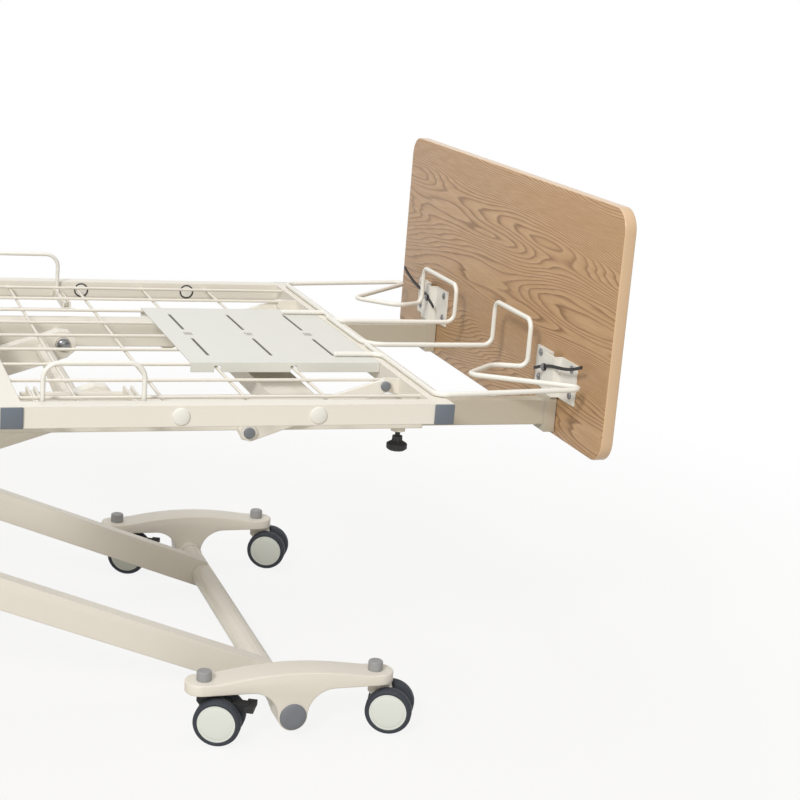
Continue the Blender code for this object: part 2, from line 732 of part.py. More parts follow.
def board(name, face_u, outward):
    """A board with round corners, its inner face at a station."""
    half = BOARD_W / 2
    low = DECK_TOP - BOARD_BELOW
    outline = rounded_rectangle((-half, low), (half, DECK_TOP + BOARD_ABOVE), BOARD_CORNER)
    spans = sorted((face_u, face_u + outward * BOARD_T))
    panel = plate(outline, "x", *spans)
    panel = part(name, panel, WOOD, (face_u, 0.0, DECK_TOP))
    edge = panel.modifiers.new("edge", "BEVEL")
    edge.width = BOARD_EDGE * MM
    edge.segments = 1
    edge.limit_method = "ANGLE"


def board_bracket(name, face_u, outward, y):
    """A hat-section bracket: two bolted flanges and a raised socket over the rail's tongue."""
    back = face_u - outward * FIT
    skin = back - outward * SHEET
    front = back - outward * SOCKET_DEEP
    inside = front + outward * SHEET
    edge = BRACKET_W / 2
    wall = SOCKET_W / 2
    slot = wall - SHEET
    outline = ((skin, y - edge), (skin, y - wall), (front, y - wall), (front, y + wall), (skin, y + wall),
               (skin, y + edge), (back, y + edge), (back, y + slot), (inside, y + slot), (inside, y - slot),
               (back, y - slot), (back, y - edge))
    solid = plate(outline, "z", DECK_TOP + BRACKET_LOW, DECK_TOP + BRACKET_HIGH)
    part(name, solid, WHITE_STEEL, (face_u, y, DECK_TOP))


def latch_lever(name, side):
    """A thin wavy strip that turns on the front of the bracket's socket, its long end outwards."""
    face = FOOT_REACH - FIT - SOCKET_DEEP
    edges = []
    for half in (LATCH_HALF, -LATCH_HALF):
        run = []
        for step in range(LATCH_STEPS + 1):
            along = step / LATCH_STEPS
            y = LATCH_HEEL[0] + (LATCH_TIP[0] - LATCH_HEEL[0]) * along
            z = LATCH_HEEL[1] + (LATCH_TIP[1] - LATCH_HEEL[1]) * along
            run.append((side * y, z + half + LATCH_WAVE * math.sin(2 * math.pi * along)))
        edges.append(run)
    y = side * LATCH_PIVOT[0]
    z = LATCH_PIVOT[1]
    strip = plate(edges[0] + edges[1][::-1], "x", face - 1 - LATCH_T, face - 1)
    boss = rod((face - 2 - LATCH_T, y, z), (face - FIT, y, z), LATCH_BOSS_R)
    part(name, weld(strip, boss), BLACK_PLASTIC, (face, y, z))


def boards_and_brackets():
    board("foot_board", FOOT_REACH, 1)
    board("head_board", -DECK_L - HEAD_REACH, -1)
    for name, side in SIDES:
        y = side * BRACKET_Y
        board_bracket("foot_bracket_" + name, FOOT_REACH, 1, y)
        board_bracket("head_bracket_" + name, -DECK_L - HEAD_REACH, -1, y)
        latch_lever("latch_lever_" + name, side)


def lift_arms(name, pivot_u, hub_u, inner_y, lever_y, tie_reach, tie_drop):
    """Two box arms on frame bearings, tied near their pivots, and a cross tube for two castor bows."""
    pivot = (pivot_u, LIFT_TOP_Z)
    hub = (hub_u, HUB_Z)
    heading = math.atan2(hub[1] - pivot[1], hub[0] - pivot[0])
    tie = (pivot_u + tie_reach * math.cos(heading),
           LIFT_TOP_Z + tie_reach * math.sin(heading) - tie_drop)
    deep = ARM_DEEP / 2
    up = heading + math.pi / 2
    outline = arc(pivot, deep, up, up + math.pi, 4)
    for turn in (up + math.pi, up):
        outline.append((hub[0] + deep * math.cos(turn), hub[1] + deep * math.sin(turn)))
    half = inner_y + ARM_WIDE / 2
    lever = link_outline(tie, (pivot_u, LIFT_TOP_Z - LEVER_L), TIE_R - 1, LUG_TIP_R)
    solids = [rod((hub_u, -CROSS_HALF, HUB_Z), (hub_u, CROSS_HALF, HUB_Z), CROSS_R, 16),
              rod((tie[0], -half, tie[1]), (tie[0], half, tie[1]), TIE_R, 12),
              plate(lever, "y", lever_y - LUG_HALF, lever_y + LUG_HALF)]
    bores = []
    for _, side in SIDES:
        across = sorted((side * inner_y, side * (inner_y + ARM_WIDE)))
        solids.append(plate(outline, "y", *across))
        if tie_reach < 0:
            ear = link_outline(pivot, tie, deep - 2, EAR_R)
            solids.append(plate(ear, "y", across[0] + 1, across[1] - 1))
        solids.append(rod((hub_u, side * (CROSS_HALF - 2), HUB_Z), (hub_u, side * SPINDLE_END, HUB_Z),
                          SPINDLE_R, 12))
        bores.append(rod((pivot_u, across[0] - 1, LIFT_TOP_Z), (pivot_u, across[1] + 1, LIFT_TOP_Z),
                         bore_radius(BEARING_R, 12), 12))
    arms = cut(weld(solids[0], *solids[1:]), *bores)
    part(name, arms, CREAM, (pivot_u, 0.0, LIFT_TOP_Z))


def bow_outline(hub_u):
    """Side view of a castor bow: swelling top, level ends and two hollow fillets down to the hub."""
    high = BOW_LOW + BOW_END_T
    top = []
    for step in range(-4, 5):
        u = BOW_SWELL * step / 4
        top.append((hub_u - u, high + BOW_RISE * math.cos(math.pi * step / 8) ** 2))
    left = []
    for step in range(6):
        turn = math.pi / 2 * step / 5
        left.append((FILLET_U - (FILLET_U - HUB_R) * math.sin(turn),
                     BOW_LOW - (BOW_LOW - HUB_Z) * (1 - math.cos(turn))))
    end = BOW_HALF + WELD
    outline = [(hub_u + end, high)] + top + [(hub_u - end, high), (hub_u - end, BOW_LOW)]
    outline += [(hub_u - u, z) for u, z in left]
    outline += arc((hub_u, HUB_Z), HUB_R, math.pi, 2 * math.pi, 6)[1:-1]
    outline += [(hub_u + u, z) for u, z in reversed(left)]
    return outline + [(hub_u + end, BOW_LOW)]


def castor_bow(name, hub_u, side):
    half = BOW_WIDE / 2
    y = side * BOW_Y
    body = plate(bow_outline(hub_u), "y", y - half - WELD, y + half + WELD)
    plan = rounded_rectangle((hub_u - BOW_HALF, y - half), (hub_u + BOW_HALF, y + half), half - 1, 4)
    plan = plate(plan, "z", 0.0, 2 * BOW_LOW)
    body = combine(body, [plan], "INTERSECT")
    sleeve = rod((hub_u, side * (CROSS_HALF + 0.5), HUB_Z), (hub_u, side * (BOW_Y - half + WELD), HUB_Z),
                 HUB_R - 1.5, 12)
    bores = [rod((hub_u, side * (CROSS_HALF - 1), HUB_Z), (hub_u, side * (SPINDLE_END + 2), HUB_Z),
                 bore_radius(SPINDLE_R, 12), 12)]
    for reach in (-STEM_REACH, STEM_REACH):
        bores.append(rod((hub_u + reach, y, 0.0), (hub_u + reach, y, 2 * BOW_LOW), bore_radius(STEM_R)))
    part(name, cut(weld(body, sleeve), *bores), CREAM, (hub_u, y, HUB_Z))


def castor_fork(name, place, braked):
    """Stem with its cap above the bow, a bearing flange and the web that carries the axle."""
    flange = BOW_LOW - FIT - FLANGE_T
    top = BOW_LOW + BOW_END_T + FIT
    web_outline = [(WEB_BACK, flange + 1), (WEB_BACK, WEB_SHOULDER_Z)]
    web_outline += arc((TRAIL, AXLE_Z), AXLE_BOSS_R, *AXLE_BOSS_ARC)
    if braked:
        web_outline += arc((PEDAL_T, PEDAL_Z), PEDAL_BOSS_R, 0.0, math.pi / 2)
    web = plate(web_outline + [(WEB_FRONT, flange + 1)], "y", -WEB_HALF, WEB_HALF)
    fork = weld(web, rod((0, 0, flange), (0, 0, BOW_LOW - FIT), FLANGE_R, 10),
                rod((0, 0, flange + 1), (0, 0, top + 1), STEM_R),
                rod((0, 0, top), (0, 0, top + CAP_H), CAP_R, 10))
    past = 2 * WEB_HALF
    fork = cut(fork, rod((TRAIL, -past, AXLE_Z), (TRAIL, past, AXLE_Z), bore_radius(AXLE_R)))
    if braked:
        bore = bore_radius(PEDAL_PIN_R, 6)
        fork = cut(fork, rod((PEDAL_T, -past, PEDAL_Z), (PEDAL_T, past, PEDAL_Z), bore, 6))
    part(name, fork, GREY_PLASTIC, (0.0, 0.0, flange), (place[0], place[1], flange), SWIVEL)


def castor_wheels(name, place):
    """Twin wheels on one axle, turned as a single body."""
    face_r = WHEEL_R - TYRE_EDGE[0]
    edge = WHEEL_HALF_W - TYRE_EDGE[1]
    profile = ((0.0, WHEEL_HALF_W), (face_r, WHEEL_HALF_W), (WHEEL_R, edge), (WHEEL_R, WHEEL_INNER),
               (AXLE_R, WHEEL_INNER), (AXLE_R, -WHEEL_INNER), (WHEEL_R, -WHEEL_INNER), (WHEEL_R, -edge),
               (face_r, -WHEEL_HALF_W), (0.0, -WHEEL_HALF_W))
    wheels = turned(profile, WHEEL_SIDES)
    half_step = Matrix.Rotation(math.pi / WHEEL_SIDES, 4, "Z")
    lay = Matrix.Rotation(math.pi / 2, 4, "X") @ half_step
    wheels.data.transform(Matrix.Translation(point(0, 0, 0)) @ lay @ Matrix.Translation(-point(0, 0, 0)))
    stand = (place[0] + TRAIL * math.cos(SWIVEL), place[1] + TRAIL * math.sin(SWIVEL), AXLE_Z)
    part(name, wheels, TYRE_GREY, (0.0, 0.0, 0.0), stand, SWIVEL)


def brake_pedal(name, place):
    """A foot pedal between the twin wheels, on two cheeks pinned through the fork's web."""
    inner = WEB_HALF + FIT
    outer = WHEEL_INNER - 2 * FIT
    solids = [box((PEDAL_NECK[0], -outer, PEDAL_Z - PEDAL_NECK_RISE),
                  (PEDAL_NECK[1], outer, PEDAL_Z + PEDAL_NECK_RISE)),
              box((PEDAL_PAD[0], -PEDAL_PAD_HALF, PEDAL_Z - PEDAL_PAD_RISE),
                  (PEDAL_PAD[1], PEDAL_PAD_HALF, PEDAL_Z + PEDAL_PAD_RISE)),
              rod((PEDAL_T, -inner - 1, PEDAL_Z), (PEDAL_T, inner + 1, PEDAL_Z), PEDAL_PIN_R, 6)]
    cheek = link_outline((PEDAL_T, PEDAL_Z), (PEDAL_NECK[0] + 2, PEDAL_Z), PEDAL_CHEEK_R, PEDAL_CHEEK_R)
    for low, high in ((-outer, -inner), (inner, outer)):
        solids.append(plate(cheek, "y", low, high))
    pedal = weld(solids[0], *solids[1:])
    stand = (place[0] + PEDAL_T * math.cos(SWIVEL), place[1] + PEDAL_T * math.sin(SWIVEL), PEDAL_Z)
    part(name, pedal, BLACK_PLASTIC, (PEDAL_T, 0.0, PEDAL_Z), stand, SWIVEL)


def undercarriage():
    lift_arms("foot_lift_arms", FOOT_PIVOT_U, FOOT_HUB_U, FOOT_ARM_Y, ACTUATORS[2][1],
              FOOT_TIE, FOOT_TIE_DROP)
    lift_arms("head_lift_arms", HEAD_PIVOT_U, HEAD_HUB_U, HEAD_ARM_Y, ACTUATORS[3][1],
              HEAD_TIE, HEAD_TIE_DROP)
    for end, hub_u, inward in (("foot", FOOT_HUB_U, -1), ("head", HEAD_HUB_U, 1)):
        for name, side in SIDES:
            label = end + "_" + name
            castor_bow("castor_bow_" + label, hub_u, side)
            for spot, reach in (("inner", inward), ("outer", -inward)):
                place = (hub_u + reach * STEM_REACH, side * BOW_Y)
                castor_fork("castor_fork_" + label + "_" + spot, place, spot == "inner")
                castor_wheels("castor_wheels_" + label + "_" + spot, place)
            brake_pedal("brake_pedal_" + label, (hub_u + inward * STEM_REACH, side * BOW_Y))


def calf_links():
    """Flat links that hold the foot section's end as the knee rises."""
    for name, side in SIDES:
        faces = sorted((side * CALF_Y, side * (CALF_Y + CALF_T)))
        link = plate(link_outline(CALF_LOW, CALF_HIGH, CALF_LOW_R, CALF_HIGH_R), "y", *faces)
        middle = side * (CALF_Y + CALF_T / 2)
        bore = rod((CALF_LOW[0], middle - CALF_T, CALF_LOW[1]), (CALF_LOW[0], middle + CALF_T, CALF_LOW[1]),
                   bore_radius(CALF_PIN_R))
        part("calf_link_" + name, cut(link, bore), CREAM, (CALF_LOW[0], middle, CALF_LOW[1]))


def actuator(name, y, base, z, tip, tube_l, rod_in):
    """A linear actuator: bored eye, gear housing and outer tube, and a rod that ends in a fork."""
    way = math.copysign(1.0, tip - base)
    length = abs(tip - base)

    def along(distance):
        return base + way * distance

    gear = sorted(along(distance) for distance in GEAR_SPAN)
    wide = GEAR_WIDE / 2
    tall = GEAR_HIGH / 2
    eye = link_outline((base, z), (along(2 * EYE_R), z), EYE_R, EYE_R)
    body = weld(box((gear[0], y - wide, z - tall), (gear[1], y + wide, z + tall)),
                plate(eye, "y", y - EYE_HALF, y + EYE_HALF),
                rod((along(GEAR_SPAN[1] - EYE_R), y, z), (along(tube_l), y, z), TUBE_R, 10))
    body = cut(body, rod((base, y - EYE_R, z), (base, y + EYE_R, z), bore_radius(EYE_PIN_R)),
               rod((along(GEAR_SPAN[1] - EYE_HALF), y, z), (along(tube_l + 1), y, z), bore_radius(ROD_R)))
    part(name + "_body", body, GREY_PLASTIC, (base, y, z))
    inner = LUG_HALF + FORK_GAP
    outer = inner + FORK_T
    bridge = sorted((along(length - FORK_L - BRIDGE_HALF), along(length - FORK_L + BRIDGE_HALF)))
    tine = link_outline((along(length - FORK_L), z), (along(length + FORK_GAP), z), LUG_TIP_R, LUG_TIP_R)
    solids = [rod((along(rod_in), y, z), (along(length - FORK_L), y, z), ROD_R),
              box((bridge[0], y - outer, z - LUG_TIP_R), (bridge[1], y + outer, z + LUG_TIP_R))]
    for low, high in ((y - outer, y - inner), (y + inner, y + outer)):
        solids.append(plate(tine, "y", low, high))
    part(name + "_rod", weld(solids[0], *solids[1:]), CHROME, (tip, y, z))


def control_box():
    """The control unit on the head side of a cross member."""
    face = MEMBER_STATIONS[1] - MEMBER / 2 - FIT
    low = RAIL_TOP - CONTROL_Z[0]
    case = box((face - CONTROL_L, CONTROL_Y[0], low), (face, CONTROL_Y[1], RAIL_TOP - CONTROL_Z[1]))
    case = part("control_box", case, BLACK_PLASTIC, (face, CONTROL_Y[0], low))
    edge = case.modifiers.new("edge", "BEVEL")
    edge.width = CONTROL_EDGE * MM
    edge.segments = 2


def build_bed():
    for obj in list(bpy.data.objects):
        bpy.data.objects.remove(obj)
    bpy.context.scene.collection.children.link(bed)
    main_frame()
    seat_section()
    back_section()
    thigh_section()
    foot_section()
    foot_pan()
    foot_mattress_retainer()
    side_retainers()
    calf_links()
    foot_extension_rails()
    lock_knobs()
    boards_and_brackets()
    undercarriage()
    for name, y, _, base, height, tip, tube_l, rod_in in ACTUATORS:
        actuator(name, y, base, height, tip, tube_l, rod_in)
    control_box()


build_bed()
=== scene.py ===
"""Studio picture of the low hospital bed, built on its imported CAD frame.

Sizes are millimetres and become metres in the at function. The station u runs along the bed from the foot end
of the deck (0, positive towards the foot board), y across it from the middle and z up from the floor.
"""
import math

import bmesh
import bpy
from mathutils import Matrix, Vector


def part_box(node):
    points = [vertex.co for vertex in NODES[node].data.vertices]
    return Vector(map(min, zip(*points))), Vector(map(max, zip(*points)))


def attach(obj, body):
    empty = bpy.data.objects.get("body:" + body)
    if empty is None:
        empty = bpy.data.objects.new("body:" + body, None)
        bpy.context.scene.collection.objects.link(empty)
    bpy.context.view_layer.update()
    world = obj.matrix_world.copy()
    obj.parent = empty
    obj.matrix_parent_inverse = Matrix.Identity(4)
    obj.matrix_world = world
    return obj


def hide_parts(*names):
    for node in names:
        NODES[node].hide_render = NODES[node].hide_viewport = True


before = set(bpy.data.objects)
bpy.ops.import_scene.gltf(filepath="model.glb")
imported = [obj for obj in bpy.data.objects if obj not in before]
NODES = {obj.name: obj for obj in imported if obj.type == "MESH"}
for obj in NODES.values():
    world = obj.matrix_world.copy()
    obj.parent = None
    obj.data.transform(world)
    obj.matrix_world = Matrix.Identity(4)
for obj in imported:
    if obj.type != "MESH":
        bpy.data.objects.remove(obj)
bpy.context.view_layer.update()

MM = 0.001
FOOT_END_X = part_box("foot_section")[1].x
DECK_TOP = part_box("foot_section")[1].z / MM
DECK_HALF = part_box("foot_section")[1].y / MM
TUBE = 30.0
SIDES = (("near", -1), ("far", 1))


def at(u, y, z):
    """A scene coordinate from bed millimetres."""
    return Vector((FOOT_END_X + u * MM, y * MM, z * MM))


# Materials

NOISE_LOW = 0.3
NOISE_HIGH = 0.7
MOTTLE_SCALE = 6.0
MOTTLE_DETAIL = 4.0
GRAIN_DETAIL = 2.0
GLOSS_SPREAD = 0.15
RELIEF_DEPTH = 0.1
# Pointiness range over which the painted edge highlight fades in
PAINTED_HIGHLIGHT_RAMP = (0.53, 0.62)
BEVEL_SAMPLES = 4


def new_material(name):
    """A material with its nodes, links and main shader."""
    material = bpy.data.materials.new(name)
    material.use_nodes = True
    nodes = material.node_tree.nodes
    return material, nodes, material.node_tree.links, nodes["Principled BSDF"]


def noise(nodes, links, scale, detail):
    """A noise texture in object coordinates."""
    place = nodes.new("ShaderNodeTexCoord")
    texture = nodes.new("ShaderNodeTexNoise")
    texture.inputs["Scale"].default_value = scale
    texture.inputs["Detail"].default_value = detail
    links.new(place.outputs["Object"], texture.inputs["Vector"])
    return texture


def span(nodes, links, source, low, high):
    """Map the middle of a noise to a range."""
    ranged = nodes.new("ShaderNodeMapRange")
    ranged.inputs["From Min"].default_value = NOISE_LOW
    ranged.inputs["From Max"].default_value = NOISE_HIGH
    ranged.inputs["To Min"].default_value = low
    ranged.inputs["To Max"].default_value = high
    links.new(source, ranged.inputs["Value"])
    return ranged.outputs["Result"]


def mixed(nodes, links, factor, first, second):
    """A colour between two, by a socket's value."""
    blend = nodes.new("ShaderNodeMix")
    blend.data_type = "RGBA"
    links.new(factor, blend.inputs["Factor"])
    colours = [socket for socket in blend.inputs if socket.type == "RGBA"]
    for socket, value in zip(colours, (first, second)):
        if isinstance(value, tuple):
            socket.default_value = (*value, 1.0)
        else:
            links.new(value, socket)
    return next(socket for socket in blend.outputs if socket.type == "RGBA")


def maths(nodes, links, operation, first, second=0.0):
    """One step of arithmetic on sockets or numbers."""
    step = nodes.new("ShaderNodeMath")
    step.operation = operation
    for socket, value in zip(step.inputs, (first, second)):
        if isinstance(value, (int, float)):
            socket.default_value = value
        else:
            links.new(value, socket)
    return step.outputs["Value"]


def surface(name, colour, shade, rough, grain, bump, edge=0.0, metallic=0.0, painted_edge_highlight=None):
    """A coated or moulded surface: mottled colour, grain in the gloss and the relief, softened edges and, if
    given, a painted highlight on convex edges.
    """
    material, nodes, links, shader = new_material(name)
    mottle = noise(nodes, links, MOTTLE_SCALE, MOTTLE_DETAIL)
    colours = mixed(nodes, links, mottle.outputs["Fac"], shade, colour)
    # Painted highlight: convex edges, found by pointiness, are mixed towards a lighter colour.
    if painted_edge_highlight:
        geometry = nodes.new("ShaderNodeNewGeometry")
        ramp = nodes.new("ShaderNodeValToRGB")
        ramp.color_ramp.elements[0].position = PAINTED_HIGHLIGHT_RAMP[0]
        ramp.color_ramp.elements[1].position = PAINTED_HIGHLIGHT_RAMP[1]
        links.new(geometry.outputs["Pointiness"], ramp.inputs["Fac"])
        colours = mixed(nodes, links, ramp.outputs["Color"], colours, painted_edge_highlight)
    links.new(colours, shader.inputs["Base Color"])
    fine = noise(nodes, links, grain, GRAIN_DETAIL)
    gloss = span(nodes, links, fine.outputs["Fac"], rough * (1 - GLOSS_SPREAD), rough * (1 + GLOSS_SPREAD))
    links.new(gloss, shader.inputs["Roughness"])
    relief = nodes.new("ShaderNodeBump")
    relief.inputs["Strength"].default_value = bump
    relief.inputs["Distance"].default_value = RELIEF_DEPTH * MM
    links.new(fine.outputs["Fac"], relief.inputs["Height"])
    if edge:
        rounding = nodes.new("ShaderNodeBevel")
        rounding.samples = BEVEL_SAMPLES
        rounding.inputs["Radius"].default_value = edge * MM
        links.new(rounding.outputs["Normal"], relief.inputs["Normal"])
    links.new(relief.outputs["Normal"], shader.inputs["Normal"])
    shader.inputs["Metallic"].default_value = metallic
    return material


# Wood: a grain is its stretch, scale and detail, and a sway its stretch, scale and the layers that it shifts
ASH_PALE = (0.585, 0.378, 0.205)
ASH_MID = (0.52, 0.32, 0.165)
ASH_DARK = (0.25, 0.128, 0.052)
LAYERS_PER_METRE = 165.0
LAYER_COLOURS = ((0.56, ASH_MID), (0.83, ASH_DARK), (0.89, ASH_DARK))
SWAYS = ((0.17, 6.0, 60.0), (0.12, 20.0, 7.0), (0.07, 90.0, 0.9))
SWAY_DETAIL = 1.0
FADE_GRAIN = (0.3, 16.0, 2.0)
FADE_MOST = 0.45
PORE_GRAIN = (0.05, 420.0, 2.0)
PORE_SHADE = 0.22
PORE_GLOSS = (0.36, 0.5)
PORE_RELIEF = 0.08
PORE_DEPTH = 0.4


def wood():
    """Flat-sawn ash: contour lines of a slow swell laid over even layers, with fine pores along the grain."""
    material, nodes, links, shader = new_material("ash_laminate")
    place = nodes.new("ShaderNodeTexCoord")
    parts = nodes.new("ShaderNodeSeparateXYZ")
    links.new(place.outputs["Object"], parts.inputs["Vector"])

    def along_grain(stretch, scale, detail):
        mapping = nodes.new("ShaderNodeMapping")
        mapping.inputs["Scale"].default_value = (1.0, stretch, 1.0)
        links.new(place.outputs["Object"], mapping.inputs["Vector"])
        texture = nodes.new("ShaderNodeTexNoise")
        texture.inputs["Scale"].default_value = scale
        texture.inputs["Detail"].default_value = detail
        links.new(mapping.outputs["Vector"], texture.inputs["Vector"])
        return texture.outputs["Fac"]

    layers = maths(nodes, links, "MULTIPLY", parts.outputs["Z"], LAYERS_PER_METRE)
    for stretch, scale, amount in SWAYS:
        sway = maths(nodes, links, "MULTIPLY", along_grain(stretch, scale, SWAY_DETAIL), amount)
        layers = maths(nodes, links, "ADD", layers, sway)
    ramp = nodes.new("ShaderNodeValToRGB")
    ramp.color_ramp.elements[0].color = (*ASH_PALE, 1.0)
    ramp.color_ramp.elements[1].color = (*ASH_PALE, 1.0)
    for position, colour in LAYER_COLOURS:
        ramp.color_ramp.elements.new(position).color = (*colour, 1.0)
    links.new(maths(nodes, links, "FRACT", layers), ramp.inputs["Fac"])
    faint = span(nodes, links, along_grain(*FADE_GRAIN), 0.0, FADE_MOST)
    figure = mixed(nodes, links, faint, ramp.outputs["Color"], ASH_MID)
    pores = along_grain(*PORE_GRAIN)
    streaks = span(nodes, links, pores, 0.0, PORE_SHADE)
    links.new(mixed(nodes, links, streaks, figure, ASH_DARK), shader.inputs["Base Color"])
    links.new(span(nodes, links, pores, *PORE_GLOSS), shader.inputs["Roughness"])
    relief = nodes.new("ShaderNodeBump")
    relief.inputs["Strength"].default_value = PORE_RELIEF
    relief.inputs["Distance"].default_value = PORE_DEPTH * MM
    links.new(pores, relief.inputs["Height"])
    links.new(relief.outputs["Normal"], shader.inputs["Normal"])
    return material


# The cream coat carries a painted highlight: a lighter colour on its convex edges.
CREAM = surface("cream_coat", (0.79, 0.75, 0.665), (0.76, 0.72, 0.635), 0.42, 900.0, 0.10, 2.0,
                painted_edge_highlight=(0.82, 0.785, 0.71))
WHITE = surface("white_coat", (0.80, 0.785, 0.725), (0.77, 0.755, 0.695), 0.40, 900.0, 0.08, 0.8)
PAN = surface("pan_coat", (0.70, 0.70, 0.645), (0.675, 0.675, 0.62), 0.42, 900.0, 0.08, 0.8)
BAND = surface("edge_band", (0.67, 0.475, 0.30), (0.62, 0.43, 0.265), 0.24, 300.0, 0.04)
PLUG = surface("grey_plug", (0.14, 0.163, 0.192), (0.122, 0.142, 0.17), 0.5, 1200.0, 0.12, 1.0)
HUB = surface("hub_grey", (0.19, 0.20, 0.22), (0.17, 0.18, 0.20), 0.5, 1200.0, 0.12, 0.8)
CAP = surface("cap_grey", (0.32, 0.32, 0.32), (0.29, 0.29, 0.295), 0.45, 1200.0, 0.12, 0.6)
TYRE = surface("tyre", (0.028, 0.033, 0.044), (0.021, 0.025, 0.034), 0.7, 1500.0, 0.2)
DISC = surface("wheel_disc", (0.72, 0.75, 0.70), (0.69, 0.72, 0.67), 0.4, 1200.0, 0.06)
BLACK = surface("black_plastic", (0.012, 0.012, 0.014), (0.008, 0.008, 0.009), 0.6, 1200.0, 0.15, 0.6)
HOUSING = surface("housing_grey", (0.22, 0.235, 0.26), (0.19, 0.205, 0.23), 0.5, 1000.0, 0.12, 2.0)
STEEL = surface("bright_steel", (0.72, 0.72, 0.74), (0.62, 0.62, 0.65), 0.22, 600.0, 0.05, 0.4, metallic=1.0)
BOLT = surface("bolt_steel", (0.30, 0.30, 0.31), (0.22, 0.22, 0.23), 0.28, 600.0, 0.05, 0.3, metallic=1.0)
# Painted shade: a darker copy of the cream coat for the extension rails, standing in for the shadow that they
# lie in.
PAINTED_SHADE_CREAM = surface("painted_shade_coat", (0.50, 0.455, 0.365), (0.47, 0.425, 0.34), 0.42, 900.0, 0.10, 2.0)
RIM = surface("dark_rim", (0.05, 0.05, 0.052), (0.035, 0.035, 0.037), 0.5, 1200.0, 0.1)
PRINT = surface("printed_grey", (0.30, 0.27, 0.24), (0.26, 0.235, 0.21), 0.6, 900.0, 0.02)
SLOT = surface("slot_shade", (0.11, 0.10, 0.09), (0.08, 0.075, 0.07), 0.7, 900.0, 0.02)
WOOD = wood()

NODE_LOOKS = (
    # The extension rails take the painted-shade copy of the cream coat.
    (("extension_rail",), PAINTED_SHADE_CREAM),
    (("main_frame", "section", "calf_link", "lift_arms", "castor_bow"), CREAM),
    (("foot_pan",), PAN),
    (("bracket", "retainer"), WHITE),
    (("latch", "knob", "pedal", "control_box"), BLACK),
    (("castor_fork",), CAP),
    (("castor_wheels",), TYRE),
    (("board",), WOOD),
    (("actuator_body",), HOUSING),
    (("actuator_rod",), STEEL),
)


def dress_nodes():
    """Give every CAD node its look."""
    for name, node in NODES.items():
        look = next(material for words, material in NODE_LOOKS if any(word in name for word in words))
        node.data.materials.clear()
        node.data.materials.append(look)


# Pieces

SOFT_ANGLE = 35.0
ROUND_ANGLE = 50.0
EDGE_STEPS = 3
BEND_STEPS = 8
CORNER_STEPS = 10
ROD_SIDES = 32
WIRE_RESOLUTION = 4
WELD = 0.001


def finish(obj, material, body, stands_for=None, smooth=SOFT_ANGLE):
    """Give a piece its material, smooth shading and the body that it rides on."""
    if material:
        obj.data.materials.append(material)
    if obj.type == "MESH" and smooth:
        obj.data.shade_smooth()
        obj.data.set_sharp_from_angle(angle=math.radians(smooth))
    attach(obj, body)
    if stands_for:
        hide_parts(stands_for)
    return obj


def linked(name, data):
    """A new object in the scene."""
    obj = bpy.data.objects.new(name, data)
    bpy.context.scene.collection.objects.link(obj)
    return obj


def mesh_piece(name, bm):
    """A new object from a finished bmesh."""
    bmesh.ops.recalc_face_normals(bm, faces=bm.faces)
    mesh = bpy.data.meshes.new(name)
    bm.to_mesh(mesh)
    bm.free()
    return linked(name, mesh)


def as_mesh(obj):
    """Replace a curve or a modified object by its plain mesh."""
    bpy.context.view_layer.update()
    name = obj.name
    mesh = bpy.data.meshes.new_from_object(obj.evaluated_get(bpy.context.evaluated_depsgraph_get()))
    mesh.transform(obj.matrix_world)
    bpy.data.objects.remove(obj)
    bm = bmesh.new()
    bm.from_mesh(mesh)
    bpy.data.meshes.remove(mesh)
    bmesh.ops.remove_doubles(bm, verts=bm.verts, dist=WELD * MM)
    return mesh_piece(name, bm)


def soften(bm, edges, width):
    """Round some edges of a bmesh."""
    bmesh.ops.bevel(bm, geom=edges, offset=width * MM, segments=EDGE_STEPS, profile=0.5, affect="EDGES")


def box(name, low, high, bevel=0.0):
    """A block with rounded edges between two corners."""
    bm = bmesh.new()
    bmesh.ops.create_cube(bm, size=1.0)
    corner = at(*low)
    other = at(*high)
    bmesh.ops.scale(bm, vec=other - corner, verts=bm.verts)
    bmesh.ops.translate(bm, vec=(corner + other) / 2, verts=bm.verts)
    if bevel:
        soften(bm, bm.edges, bevel)
    return mesh_piece(name, bm)


def rod(name, start, end, radius):
    """A straight round bar."""
    a = at(*start)
    b = at(*end)
    place = Matrix.Translation((a + b) / 2) @ (b - a).to_track_quat("Z", "Y").to_matrix().to_4x4()
    bm = bmesh.new()
    bmesh.ops.create_cone(bm, cap_ends=True, segments=ROD_SIDES, radius1=radius * MM, radius2=radius * MM,
                          depth=(b - a).length, matrix=place)
    return mesh_piece(name, bm)


def lathe(name, profile, centre, axis, sides=40):
    """A turned piece: radius and height pairs from the base up, its foot at a point, along an axis."""
    bm = bmesh.new()
    rings = []
    for radius, height in profile:
        ring = []
        for step in range(sides):
            angle = 2 * math.pi * step / sides
            along = radius * MM * math.cos(angle)
            aside = radius * MM * math.sin(angle)
            ring.append(bm.verts.new((along, aside, height * MM)))
        rings.append(ring)
    for low, high in zip(rings, rings[1:]):
        for step in range(sides):
            after = (step + 1) % sides
            bm.faces.new((low[step], low[after], high[after], high[step]))
    bm.faces.new(rings[0][::-1])
    bm.faces.new(rings[-1])
    turn = Vector(axis).to_track_quat("Z", "Y").to_matrix().to_4x4()
    bm.transform(Matrix.Translation(at(*centre)) @ turn)
    return mesh_piece(name, bm)


